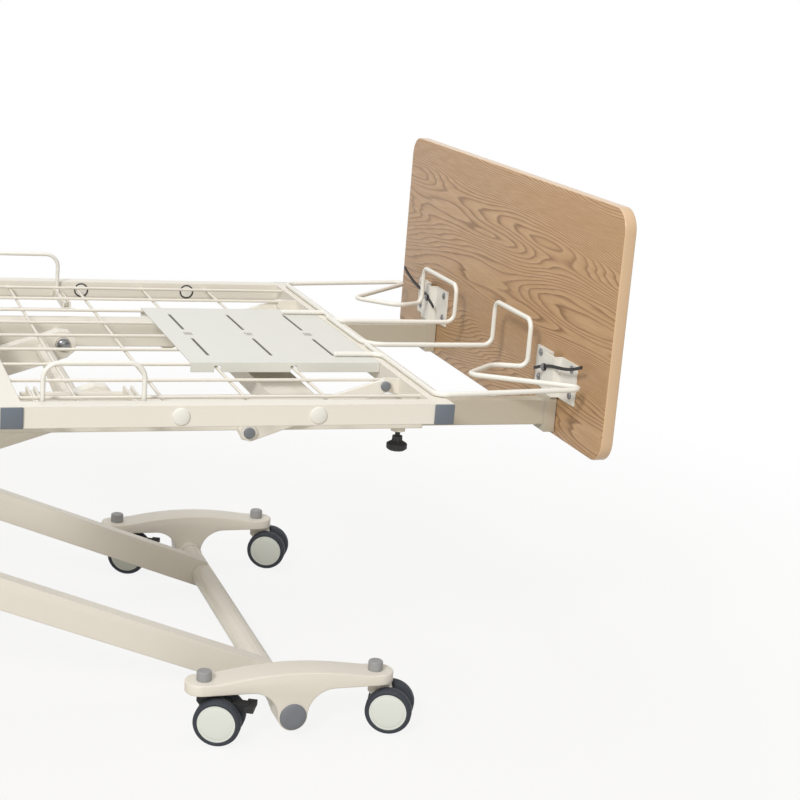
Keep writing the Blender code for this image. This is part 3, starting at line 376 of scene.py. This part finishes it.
def plate(name, outline, across, low, high, bevel=0.0):
    """A flat outline square to one axis, from low to high along it, with rounded rims."""
    bm = bmesh.new()
    rims = []
    for level in (low, high):
        rim = []
        for p, q in outline:
            spot = {"x": (level, p, q), "y": (p, level, q), "z": (p, q, level)}[across]
            rim.append(bm.verts.new(at(*spot)))
        rims.append(rim)
    bm.faces.new(rims[0][::-1])
    bm.faces.new(rims[1])
    count = len(outline)
    for step in range(count):
        after = (step + 1) % count
        bm.faces.new((rims[0][step], rims[0][after], rims[1][after], rims[1][step]))
    bmesh.ops.recalc_face_normals(bm, faces=bm.faces)
    if bevel:
        edges = [edge for edge in bm.edges if (edge.verts[0] in rims[0]) == (edge.verts[1] in rims[0])]
        soften(bm, edges, bevel)
    return mesh_piece(name, bm)


def rounded(corners, bends):
    """A path of straight runs with each inner corner bent to its radius."""
    path = [corners[0]]
    for before, corner, after, radius in zip(corners, corners[1:], corners[2:], bends):
        back = (before - corner).normalized()
        ahead = (after - corner).normalized()
        half = back.angle(ahead) / 2
        centre = corner + (back + ahead).normalized() * (radius / math.sin(half))
        arm = corner + back * (radius / math.tan(half)) - centre
        axis = back.cross(ahead)
        for step in range(BEND_STEPS + 1):
            turn = Matrix.Rotation(-(math.pi - 2 * half) * step / BEND_STEPS, 3, axis)
            path.append(centre + turn @ arm)
    path.append(corners[-1])
    return path


def wire(name, corners, radius, bends, closed=False):
    """A round wire along bent straight runs."""
    knots = [Vector(corner) for corner in corners]
    if closed:
        start = (knots[0] + knots[-1]) / 2
        knots = rounded([start] + knots + [start], bends)[:-1]
    else:
        knots = rounded(knots, bends)
    curve = bpy.data.curves.new(name, "CURVE")
    curve.dimensions = "3D"
    curve.bevel_depth = radius * MM
    curve.bevel_resolution = WIRE_RESOLUTION
    curve.use_fill_caps = not closed
    spline = curve.splines.new("POLY")
    spline.points.add(len(knots) - 1)
    for knot, place in zip(spline.points, knots):
        knot.co = (*at(*place), 1.0)
    spline.use_cyclic_u = closed
    return as_mesh(linked(name, curve))


def joined(first, *others):
    """Several pieces as one object."""
    bm = bmesh.new()
    for obj in (first, *others):
        bm.from_mesh(obj.data)
    name = first.name
    for obj in (first, *others):
        bpy.data.objects.remove(obj)
    return mesh_piece(name, bm)


def arc(centre, radius, start, end, steps=12):
    """Points of an arc, both ends among them."""
    angles = [start + (end - start) * step / steps for step in range(steps + 1)]
    return [(centre[0] + radius * math.cos(a), centre[1] + radius * math.sin(a)) for a in angles]


def rounded_rectangle(low, high, radius):
    """An outline between two corners, with round corners."""
    quarter = math.pi / 2
    centres = ((high[0] - radius, high[1] - radius), (low[0] + radius, high[1] - radius),
               (low[0] + radius, low[1] + radius), (high[0] - radius, low[1] + radius))
    outline = []
    for turn, centre in enumerate(centres):
        outline += arc(centre, radius, turn * quarter, (turn + 1) * quarter, CORNER_STEPS)
    return outline


# Boards and bolts

BOARD_CORNER = 35.0
BOARD_RIM = 2.0
FLAT_FACE = 0.8
BOARD_FACES = (("foot", 238.0, -1), ("head", -2075.0, 1))
BRACKET_Y = 286.0
BRACKET_WALL = 3.4
BRACKET_ROWS = (("high", 24.0), ("low", -17.0))
BRACKET_SPOTS = (("left", 60.0), ("right", -60.0))
BRACKET_BOLT_R = 5.0
LATCH_FACE_U = 217.6
LATCH_PIVOT_Y = 274.0
LATCH_PIVOT_Z = 551.0
LATCH_BOLT_R = 4.5
LIFT_BEARINGS = (("foot", -1350.0, 222.0), ("head", -470.0, 172.0))
LIFT_BEARING_Z = 480.0
LIFT_BOLT_R = 9.0
BOLT_SIDES = 24


def end_board(name, node, body):
    """A wood-grain panel with a pale band round its rim."""
    low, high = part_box(node)
    across = (low.y / MM, high.y / MM)
    levels = (low.z / MM, high.z / MM)
    outline = rounded_rectangle((across[0], levels[0]), (across[1], levels[1]), BOARD_CORNER)
    faces = ((low.x - FOOT_END_X) / MM, (high.x - FOOT_END_X) / MM)
    panel = plate(name, outline, "x", *faces, bevel=BOARD_RIM)
    panel.data.materials.append(WOOD)
    panel.data.materials.append(BAND)
    for face in panel.data.polygons:
        face.material_index = 0 if abs(face.normal.x) > FLAT_FACE else 1
    return finish(panel, None, body, node)


def boards():
    """The panels at both ends."""
    end_board("foot_board_panel", "foot_board", "foot_board")
    end_board("head_board_panel", "head_board", "head_board")


def bolt(name, centre, axis, radius, body):
    """A round-headed bolt with a washer."""
    profile = ((radius * 1.25, 0.0), (radius * 1.25, 1.2), (radius, 1.3), (radius * 0.95, radius * 0.35),
               (radius * 0.6, radius * 0.55), (radius * 0.1, radius * 0.62))
    return finish(lathe(name, profile, centre, axis, BOLT_SIDES), BOLT, body)


def bracket_bolts():
    """Four bolts through each board bracket's flanges, and one on each latch lever's pivot."""
    for end, face_u, inward in BOARD_FACES:
        for name, side in SIDES:
            for row, rise in BRACKET_ROWS:
                for spot, reach in BRACKET_SPOTS:
                    place = (face_u + inward * BRACKET_WALL, side * BRACKET_Y + reach, DECK_TOP + rise)
                    label = "_".join(("bracket_bolt", end, name, row, spot))
                    bolt(label, place, (inward, 0, 0), BRACKET_BOLT_R, end + "_board")
    for name, side in SIDES:
        place = (LATCH_FACE_U, side * LATCH_PIVOT_Y, LATCH_PIVOT_Z)
        bolt("latch_bolt_" + name, place, (-1, 0, 0), LATCH_BOLT_R, "latch_lever_" + name)


def pivot_bolts():
    """Bolt heads on the inner ends of the lift bearings."""
    for end, u, reach in LIFT_BEARINGS:
        for name, side in SIDES:
            place = (u, side * reach, LIFT_BEARING_Z)
            bolt("_".join(("lift_bolt", end, name)), place, (0, -side, 0), LIFT_BOLT_R, "frame")


# Foot retainer: a loop is the y of its inner and outer upright and how far it rises

RETAINER_R = 4.0
RETAINER_RISE = 4.5
RETAINER_HALF = 422.0
HEEL_U = -15.0
CORNER_U = 240.0
CORNER_RISE = 8.0
NECK = (82.0, 294.0)
ELBOW = (150.0, 230.0)
LOOP_U = 204.0
LOOP_BENDS = [13.0, 15.0, 30.0, 14.0, 16.0, 16.0, 16.0]
NEAR_LOOP = (93.0, 245.0, 76.0)
NEAR_BENDS = [20.0, 18.0] + LOOP_BENDS + [36.0]
FAR_LOOP = (88.0, 260.0, 66.0)
FAR_BENDS = [18.0] + LOOP_BENDS + [16.0]
TAIL_U = -19.0
TAIL_Y = 125.0
HOOK_TIP_U = -91.0
HOOK_ROOT_U = -13.0
HOOK_Y = 160.0
BRACE_U = -17.0
BRACE_ENDS = (-88.0, -167.0)
BRACE_R = 3.5
TIP_LAP = 0.5
TIP_PROFILE = ((RETAINER_R, 0.0), (RETAINER_R * 0.9, 2.0), (RETAINER_R * 0.4, 3.6))
TIP_SIDES = 16


def foot_retainer():
    """The bent wire loops, with softer bends and rounded hook tips."""
    z = DECK_TOP + RETAINER_RISE

    def loop(side, inner, outer, rise):
        corner = (CORNER_U, side * RETAINER_HALF, z + CORNER_RISE)
        neck = (NECK[0], side * NECK[1], z)
        elbow = (ELBOW[0], side * ELBOW[1], z)
        rising = [(LOOP_U, side * outer, z), (LOOP_U, side * outer, z + rise)]
        falling = [(LOOP_U, side * inner, z + rise), (LOOP_U, side * inner, z)]
        return [corner, neck, elbow] + rising + falling

    heel = [(HOOK_TIP_U, -HOOK_Y, z), (HEEL_U, -HOOK_Y, z), (HEEL_U, -RETAINER_HALF, z)]
    tail = [(TAIL_U, -NEAR_LOOP[0], z), (TAIL_U, TAIL_Y, z)]
    near = heel + loop(-1, *NEAR_LOOP) + tail
    far =[(HEEL_U, RETAINER_HALF, z)] + loop(1, *FAR_LOOP) + [(HEEL_U, FAR_LOOP[0], z)]
    near_wire = wire("foot_retainer_wire", near, RETAINER_R, NEAR_BENDS)
    far_wire = wire("far_loop", far, RETAINER_R, FAR_BENDS, closed=True)
    hook = wire("far_hook", [(HOOK_TIP_U, HOOK_Y, z), (HOOK_ROOT_U, HOOK_Y, z)], RETAINER_R, [])
    brace = wire("brace", [(BRACE_U, y, z) for y in BRACE_ENDS], BRACE_R, [])
    tips = []
    for _, side in SIDES:
        place = (HOOK_TIP_U + TIP_LAP, side * HOOK_Y, z)
        tips.append(lathe("hook_tip", TIP_PROFILE, place, (-1, 0, 0), TIP_SIDES))
    whole = joined(near_wire, far_wire, hook, brace, *tips)
    finish(whole, WHITE, "foot_retainer", "foot_mattress_retainer", ROUND_ANGLE)


# Side retainers

SIDE_WIRE_R = 3.5
CHANNEL_DROP = 24.0
CHANNEL_WALL = 2.0
CHANNEL_GAP = 0.3
HOOP_RISE = 51.5
HOOP_LEGS = (-586.0, -447.0)
HOOP_INSET = 37.2
LEG_END_INSET = 150.2
HOOP_BENDS = [10.0, 22.0, 22.0, 10.0]


def side_retainers():
    """An inverted wire U on each side, with legs that run inwards along their channels."""
    low = DECK_TOP - CHANNEL_DROP + CHANNEL_WALL + CHANNEL_GAP + SIDE_WIRE_R
    high = DECK_TOP + HOOP_RISE
    head, foot = HOOP_LEGS
    for name, side in SIDES:
        inner = side * (DECK_HALF - LEG_END_INSET)
        outer = side * (DECK_HALF - HOOP_INSET)
        path = [(head, inner, low), (head, outer, low), (head, outer, high), (foot, outer, high),
                (foot, outer, low), (foot, inner, low)]
        hoop = wire("side_retainer_wire_" + name, path, SIDE_WIRE_R, HOOP_BENDS)
        finish(hoop, WHITE, "side_retainer_" + name, "side_retainer_" + name, ROUND_ANGLE)


# Deck trim

TUBE_PLUGS = (("foot", -15.0), ("knee", -631.0))
TUBE_PLUG_STAND = 3.0
TUBE_PLUG_EDGE = 1.2
RAIL_PLUGS = (("a", -402.0), ("b", -205.0))
DOME_PROFILE = ((12.4, 0.0), (12.4, 1.2), (11.6, 2.4), (8.4, 3.3), (3.8, 3.8), (0.3, 3.9))
RIM_PROFILE = ((13.0, 0.0), (13.0, 0.8), (11.5, 1.0), (11.3, 0.5))
HEART_PROFILE = ((10.4, 0.0), (10.2, 1.0), (6.0, 1.5), (0.3, 1.6))
PAN_ROWS = (("80", -295.5), ("84", -193.9), ("88", -92.3))
SLOT_HALF = 5.0
SLOT_ENDS = (28.0, 157.0)
SLOT_SHADE_LOW = 538.06
SLOT_SHADE_HIGH = 538.24
NUMBER_SIZE = 20.0
NUMBER_DEPTH = 0.1
CALF_LOW_PIVOT = (-265.0, 311.5, 458.5)
CALF_HIGH_PIVOT = (-55.0, 307.0, 528.5)
PIVOT_CAP_PROFILE = ((8.6, 0.0), (8.6, 2.5), (7.4, 4.0), (3.6, 4.8), (0.3, 5.0))
HIGH_CAP_SHARE = 0.9


def square_plugs():
    """Grey plugs in the open ends of the foot section's end tubes."""
    for name, side in SIDES:
        outer = side * DECK_HALF
        for spot, u in TUBE_PLUGS:
            plug = box("tube_plug_%s_%s" % (name, spot), (u - TUBE / 2, outer, DECK_TOP - TUBE),
                       (u + TUBE / 2, outer + side * TUBE_PLUG_STAND, DECK_TOP), TUBE_PLUG_EDGE)
            finish(plug, PLUG, "foot")


def rail_plugs():
    """Domed plugs in the foot section's side tubes, with a rim on the inner side."""
    level = DECK_TOP - TUBE / 2
    for name, side in SIDES:
        for spot, u in RAIL_PLUGS:
            outer = (u, side * DECK_HALF, level)
            inner = (u, side * (DECK_HALF - TUBE), level)
            label = "%s_%s" % (name, spot)
            finish(lathe("rail_plug_" + label, DOME_PROFILE, outer, (0, side, 0)), WHITE, "foot")
            finish(lathe("rail_rim_" + label, RIM_PROFILE, inner, (0, -side, 0)), RIM, "foot")
            finish(lathe("rail_heart_" + label, HEART_PROFILE, inner, (0, -side, 0)), WHITE, "foot")


def slot_shades():
    """Dark strips just under the pan, so that its narrow slots read as holes."""
    for row, (_, u) in enumerate(PAN_ROWS):
        for name, side in SIDES:
            start, end = sorted(side * reach for reach in SLOT_ENDS)
            strip = box("slot_shade_%d_%s" % (row, name), (u - SLOT_HALF, start, SLOT_SHADE_LOW),
                        (u + SLOT_HALF, end, SLOT_SHADE_HIGH))
            finish(strip, SLOT, "foot", smooth=0.0)


def pan_numbers():
    """Extension lengths printed between the pan's slots."""
    for text, u in PAN_ROWS:
        curve = bpy.data.curves.new("pan_number_" + text, "FONT")
        curve.body = text
        curve.size = NUMBER_SIZE * MM
        curve.align_x = "CENTER"
        curve.align_y = "CENTER"
        label = linked("pan_number_" + text, curve)
        label.location = at(u, 0.0, DECK_TOP - NUMBER_DEPTH)
        label.rotation_euler.z = -math.pi / 2
        finish(as_mesh(label), PRINT, "foot", smooth=0.0)


def pivot_caps():
    """Grey caps on the calf links' pivots."""
    small = [(radius * HIGH_CAP_SHARE, height) for radius, height in PIVOT_CAP_PROFILE]
    for name, side in SIDES:
        for spot, pivot, profile, body in (("low", CALF_LOW_PIVOT, PIVOT_CAP_PROFILE, "frame"),
                                           ("high", CALF_HIGH_PIVOT, small, "calf_link_" + name)):
            u, y, z = pivot
            cap = lathe("calf_cap_%s_%s" % (spot, name), profile, (u, side * y, z), (0, side, 0))
            finish(cap, HUB, body)


# Castor bows

ENDS = (("foot", -193.0, -1), ("head", -1839.0, 1))
HUB_Z = 35.0
HUB_R = 23.0
HUB_STEPS = 20
HUB_PLUG_PROFILE = ((21.0, 0.0), (21.0, 1.5), (19.5, 2.6), (10.0, 3.0), (0.3, 3.1))
SLEEVE_R = 21.5
SLEEVE_ENDS = (330.0, 350.0)
BOW_Y = 372.0
BOW_HALF_WIDTH = 25.0
BOW_HALF_LENGTH = 163.5
BOW_CORNER = 24.0
BOW_LOW = 76.5
BOW_DEPTH = 17.0
CROWN_HALF = 122.0
CROWN_RISE = 12.0
CROWN_POWER = 1.2
FILLET_REACH = 66.0
CURVE_STEPS = 16
BLANK_MARGIN = 3.0
PLAN_HEIGHT = 150.0
BOW_RIM = 1.6


def bow_outline(hub_u):
    """Side view of a castor bow: a crowned arm whose underside sweeps down to the hub."""
    high = BOW_LOW + BOW_DEPTH
    end = BOW_HALF_LENGTH + BLANK_MARGIN
    top = []
    for step in range(-CURVE_STEPS, CURVE_STEPS + 1):
        share = step / CURVE_STEPS
        top.append((hub_u - CROWN_HALF * share, high + CROWN_RISE * (1 - share ** 2) ** CROWN_POWER))
    fillet = []
    for step in range(CURVE_STEPS + 1):
        turn = math.pi / 2 * step / CURVE_STEPS
        reach = FILLET_REACH - (FILLET_REACH - HUB_R) * math.sin(turn)
        fillet.append((reach, BOW_LOW - (BOW_LOW - HUB_Z) * (1 - math.cos(turn))))
    outline = [(hub_u + end, high)] + top + [(hub_u - end, high), (hub_u - end, BOW_LOW)]
    outline += [(hub_u - u, z) for u, z in fillet]
    outline += arc((hub_u, HUB_Z), HUB_R, math.pi, 2 * math.pi, HUB_STEPS)[1:-1]
    outline += [(hub_u + u, z) for u, z in reversed(fillet)]
    return outline + [(hub_u + end, BOW_LOW)]


def castor_bow(label, hub_u, side):
    """A bow cast with round ends, its hub sleeve and the plug on the hub's outer face."""
    body = "castor_bow_" + label
    y = side * BOW_Y
    blank = BOW_HALF_WIDTH + BLANK_MARGIN
    bow = plate("bow_casting_" + label, bow_outline(hub_u), "y", y - blank, y + blank)
    footprint = rounded_rectangle((hub_u - BOW_HALF_LENGTH, y - BOW_HALF_WIDTH),
                                  (hub_u + BOW_HALF_LENGTH, y + BOW_HALF_WIDTH), BOW_CORNER)
    plan = plate("plan", footprint, "z", 0.0, PLAN_HEIGHT)
    trim = bow.modifiers.new("plan", "BOOLEAN")
    trim.operation = "INTERSECT"
    trim.object = plan
    rims = bow.modifiers.new("rims", "BEVEL")
    rims.width = BOW_RIM * MM
    rims.segments = EDGE_STEPS
    rims.limit_method = "ANGLE"
    rims.angle_limit = math.radians(ROUND_ANGLE)
    bow = as_mesh(bow)
    bpy.data.objects.remove(plan)
    inner, outer = SLEEVE_ENDS
    sleeve = rod("sleeve", (hub_u, side * inner, HUB_Z), (hub_u, side * outer, HUB_Z), SLEEVE_R)
    finish(joined(bow, sleeve), CREAM, body, body)
    hub = (hub_u, side * (BOW_Y + BOW_HALF_WIDTH), HUB_Z)
    finish(lathe("hub_plug_" + label, HUB_PLUG_PROFILE, hub, (0, side, 0)), HUB, body)


# Castors: the axle's height lets a wheel's solid stand on one of its flats

CASTOR_REACH = 135.0
SWIVEL = math.radians(-25.0)
TRAIL = 27.0
WHEEL_R = 37.0
WHEEL_FLATS = 16
AXLE_Z = WHEEL_R * math.cos(math.pi / WHEEL_FLATS)
WHEEL_SIDES = 56
TYRE_PROFILE = ((6.0, 9.0), (32.0, 9.2), (35.0, 10.6), (36.28, 13.0), (36.29, 24.0), (34.4, 26.9),
                (31.6, 28.0), (29.6, 27.6), (28.6, 26.4))
DISC_PROFILE = ((28.9, 26.9), (28.0, 26.6), (27.2, 26.2), (26.4, 26.8), (22.0, 27.4), (12.0, 27.8),
                (0.4, 27.9))
CAP_PROFILE = ((11.4, 93.8), (11.5, 94.4), (11.5, 105.8), (11.0, 107.6), (9.6, 108.7), (0.3, 108.8))
STEM_PROFILE = ((20.0, 74.2), (20.0, 76.2), (6.0, 76.3), (6.0, 94.0))
WEB_BACK = -9.0
WEB_FRONT = 26.0
WEB_LOW = 60.0
WEB_TOP = 75.0
WEB_HALF = 5.0
WEB_RIM = 0.8
AXLE_BOSS_R = 11.0
AXLE_BOSS_TURN = (1.2 * math.pi, 1.95 * math.pi)
BRAKE_NOSE = (38.0, 60.0)
BRAKE_NOSE_R = 6.5


def on_castor(place, along, aside, z):
    """A point of a castor from its own directions."""
    return (place[0] + along * math.cos(SWIVEL) - aside * math.sin(SWIVEL),
            place[1] + along * math.sin(SWIVEL) + aside * math.cos(SWIVEL), z)


def castor_wheels(label, place):
    """Twin tyres with pale dished discs."""
    axle = (-math.sin(SWIVEL), math.cos(SWIVEL), 0.0)
    body = "castor_wheels_" + label
    centre = on_castor(place, TRAIL, 0.0, AXLE_Z)
    rubber = []
    faces = []
    for way in (-1, 1):
        direction = [way * value for value in axle]
        rubber.append(lathe("tyre", TYRE_PROFILE, centre, direction, WHEEL_SIDES))
        faces.append(lathe("disc", DISC_PROFILE, centre, direction, WHEEL_SIDES))
    finish(joined(*rubber), TYRE, body, body, ROUND_ANGLE).name = "tyres_" + label
    finish(joined(*faces), DISC, body, None, ROUND_ANGLE).name = "wheel_discs_" + label


def castor_fork(label, place, look):
    """Cap above the bow, bearing flange below it and a hood between the wheels that carries the axle."""
    body = "castor_fork_" + label
    spot = (place[0], place[1], 0.0)
    cap = lathe("castor_cap_" + label, CAP_PROFILE, spot, (0, 0, 1))
    finish(cap, CAP, body)
    stem = lathe("stem", STEM_PROFILE, spot, (0, 0, 1))
    outline = [(WEB_BACK, WEB_TOP), (WEB_BACK, WEB_LOW)]
    outline += arc((TRAIL, AXLE_Z), AXLE_BOSS_R, *AXLE_BOSS_TURN)
    if "inner" in label:
        outline += arc(BRAKE_NOSE, BRAKE_NOSE_R, 0.0, math.pi / 2)
    web = plate("web", outline + [(WEB_FRONT, WEB_TOP)], "y", -WEB_HALF, WEB_HALF, WEB_RIM)
    web.data.transform(Matrix.Translation(-at(0.0, 0.0, 0.0)))
    web.data.transform(Matrix.Translation(at(*spot)) @ Matrix.Rotation(SWIVEL, 4, "Z"))
    finish(joined(stem, web), look, body, body).name = "castor_hood_" + label


def undercarriage():
    """A bow on each side of each end, with a braked castor at its inner tip and a free one at its outer."""
    for end, hub_u, inward in ENDS:
        for name, side in SIDES:
            label = end + "_" + name
            castor_bow(label, hub_u, side)
            for spot, reach, look in (("inner", inward, BLACK), ("outer", -inward, CREAM)):
                place = (hub_u + reach * CASTOR_REACH, side * BOW_Y)
                castor_wheels(label + "_" + spot, place)
                castor_fork(label + "_" + spot, place, look)


# Studio: half the floor and its fade are in metres, and a lamp is name, place, size in metres, watts and tint

FLOOR_HALF = 9.0
FLOOR_Z = -0.5
FLOOR_DARK = (0.56, 0.525, 0.45)
FLOOR_PALE = (0.58, 0.545, 0.47)
FLOOR_SPECK = 40.0
FLOOR_DETAIL = 3.0
FLOOR_ROUGH = 0.9
FADE_NEAR = 1.3
FADE_FAR = 2.6
CLEAR_NEAR = 0.88
CLEAR_FAR = 1.0
LAMPS = (
    ("key_lamp", (-4300.0, -5280.0, 4930.0), 1.45, 400.0, (1.0, 0.995, 0.99)),
    ("fill_lamp", (-300.0, -4800.0, 1500.0), 2.5, 24.0, (1.0, 0.995, 0.99)),
    ("top_lamp", (-600.0, 300.0, 4200.0), 3.0, 64.0, (1.0, 1.0, 1.0)),
)
LAMP_AIM = (-300.0, 0.0, 450.0)
SKY_COLOUR = (1.0, 0.99, 0.98)
SKY_STRENGTH = 0.33
BACKDROP_COLOUR = (1.0, 1.0, 1.0)
BACKDROP_STRENGTH = 1.0


def seen(nodes, links):
    """One for rays from the camera, a mirror or glass, and nought for the light that falls on things."""
    path = nodes.new("ShaderNodeLightPath")
    glossy = path.outputs["Is Glossy Ray"]
    mirror = maths(nodes, links, "MAXIMUM", glossy, path.outputs["Is Transmission Ray"])
    return maths(nodes, links, "MAXIMUM", path.outputs["Is Camera Ray"], mirror)


def studio_floor():
    """A pale floor that keeps a soft shadow near the bed and fades into the white sky further out.

    It is mostly clear to the eye, so castors that a lift carries below it still show.
    """
    bm = bmesh.new()
    bmesh.ops.create_grid(bm, x_segments=1, y_segments=1, size=FLOOR_HALF,
                          matrix=Matrix.Translation(at(0.0, 0.0, FLOOR_Z)))
    floor = mesh_piece("studio_floor", bm)
    material, nodes, links, shader = new_material("studio_floor")
    speck = noise(nodes, links, FLOOR_SPECK, FLOOR_DETAIL)
    links.new(mixed(nodes, links, speck.outputs["Fac"], FLOOR_DARK, FLOOR_PALE), shader.inputs["Base Color"])
    shader.inputs["Roughness"].default_value = FLOOR_ROUGH
    shader.inputs["Specular IOR Level"].default_value = 0.0
    place = nodes.new("ShaderNodeTexCoord")
    away = nodes.new("ShaderNodeVectorMath")
    away.operation = "DISTANCE"
    links.new(place.outputs["Object"], away.inputs[0])
    fade = nodes.new("ShaderNodeMapRange")
    fade.inputs["From Min"].default_value = FADE_NEAR
    fade.inputs["From Max"].default_value = FADE_FAR
    fade.inputs["To Min"].default_value = CLEAR_NEAR
    fade.inputs["To Max"].default_value = CLEAR_FAR
    links.new(away.outputs["Value"], fade.inputs["Value"])
    clear = nodes.new("ShaderNodeBsdfTransparent")
    blend = nodes.new("ShaderNodeMixShader")
    share = maths(nodes, links, "MULTIPLY", seen(nodes, links), fade.outputs["Result"])
    links.new(share, blend.inputs["Fac"])
    links.new(shader.outputs["BSDF"], blend.inputs[1])
    links.new(clear.outputs["BSDF"], blend.inputs[2])
    links.new(blend.outputs["Shader"], nodes["Material Output"].inputs["Surface"])
    floor.data.materials.append(material)


def lamps():
    """Soft lamps from the front left, the front and above."""
    for name, place, size, power, tint in LAMPS:
        light = bpy.data.lights.new(name, "AREA")
        light.size = size
        light.energy = power
        light.color = tint
        lamp = linked(name, light)
        lamp.location = at(*place)
        aim = at(*LAMP_AIM) - lamp.location
        lamp.rotation_euler = aim.to_track_quat("-Z", "Y").to_euler()


def studio_sky():
    """A dim sky that lights the bed and is plain white where it is seen."""
    world = bpy.data.worlds.new("studio_sky")
    bpy.context.scene.world = world
    world.use_nodes = True
    nodes = world.node_tree.nodes
    links = world.node_tree.links
    sky = nodes["Background"]
    sky.inputs["Color"].default_value = (*SKY_COLOUR, 1.0)
    sky.inputs["Strength"].default_value = SKY_STRENGTH
    backdrop = nodes.new("ShaderNodeBackground")
    backdrop.inputs["Color"].default_value = (*BACKDROP_COLOUR, 1.0)
    backdrop.inputs["Strength"].default_value = BACKDROP_STRENGTH
    choice = nodes.new("ShaderNodeMixShader")
    links.new(seen(nodes, links), choice.inputs["Fac"])
    links.new(sky.outputs["Background"], choice.inputs[1])
    links.new(backdrop.outputs["Background"], choice.inputs[2])
    links.new(choice.outputs["Shader"], nodes["World Output"].inputs["Surface"])
    bpy.context.scene.view_settings.view_transform = "Standard"


# Camera, found by fitting the photographed corners: bed millimetres, radians and a focal length in pixels

CAMERA_PLACE = (-910.43, -2714.0, 1145.74)
CAMERA_YAW = 0.3507
CAMERA_PITCH = 0.2443
CAMERA_ROLL = -0.0822
CAMERA_FOCAL = 1728.7
PICTURE = 800.0
SENSOR = 36.0


def camera():
    """The photograph's viewpoint."""
    level = math.cos(CAMERA_PITCH)
    ahead = Vector((math.sin(CAMERA_YAW) * level, math.cos(CAMERA_YAW) * level, -math.sin(CAMERA_PITCH)))
    right = Vector((math.cos(CAMERA_YAW), -math.sin(CAMERA_YAW), 0.0))
    down = ahead.cross(right)
    across = math.cos(CAMERA_ROLL) * right + math.sin(CAMERA_ROLL) * down
    below = math.cos(CAMERA_ROLL) * down - math.sin(CAMERA_ROLL) * right
    lens = bpy.data.cameras.new("camera")
    lens.sensor_width = SENSOR
    lens.lens = CAMERA_FOCAL / PICTURE * SENSOR
    eye = linked("camera", lens)
    turn = Matrix((across, -below, -ahead)).transposed().to_4x4()
    eye.matrix_world = Matrix.Translation(at(*CAMERA_PLACE)) @ turn
    bpy.context.scene.camera = eye


dress_nodes()
boards()
bracket_bolts()
pivot_bolts()
foot_retainer()
side_retainers()
square_plugs()
rail_plugs()
slot_shades()
pan_numbers()
pivot_caps()
undercarriage()
studio_floor()
lamps()
studio_sky()
camera()
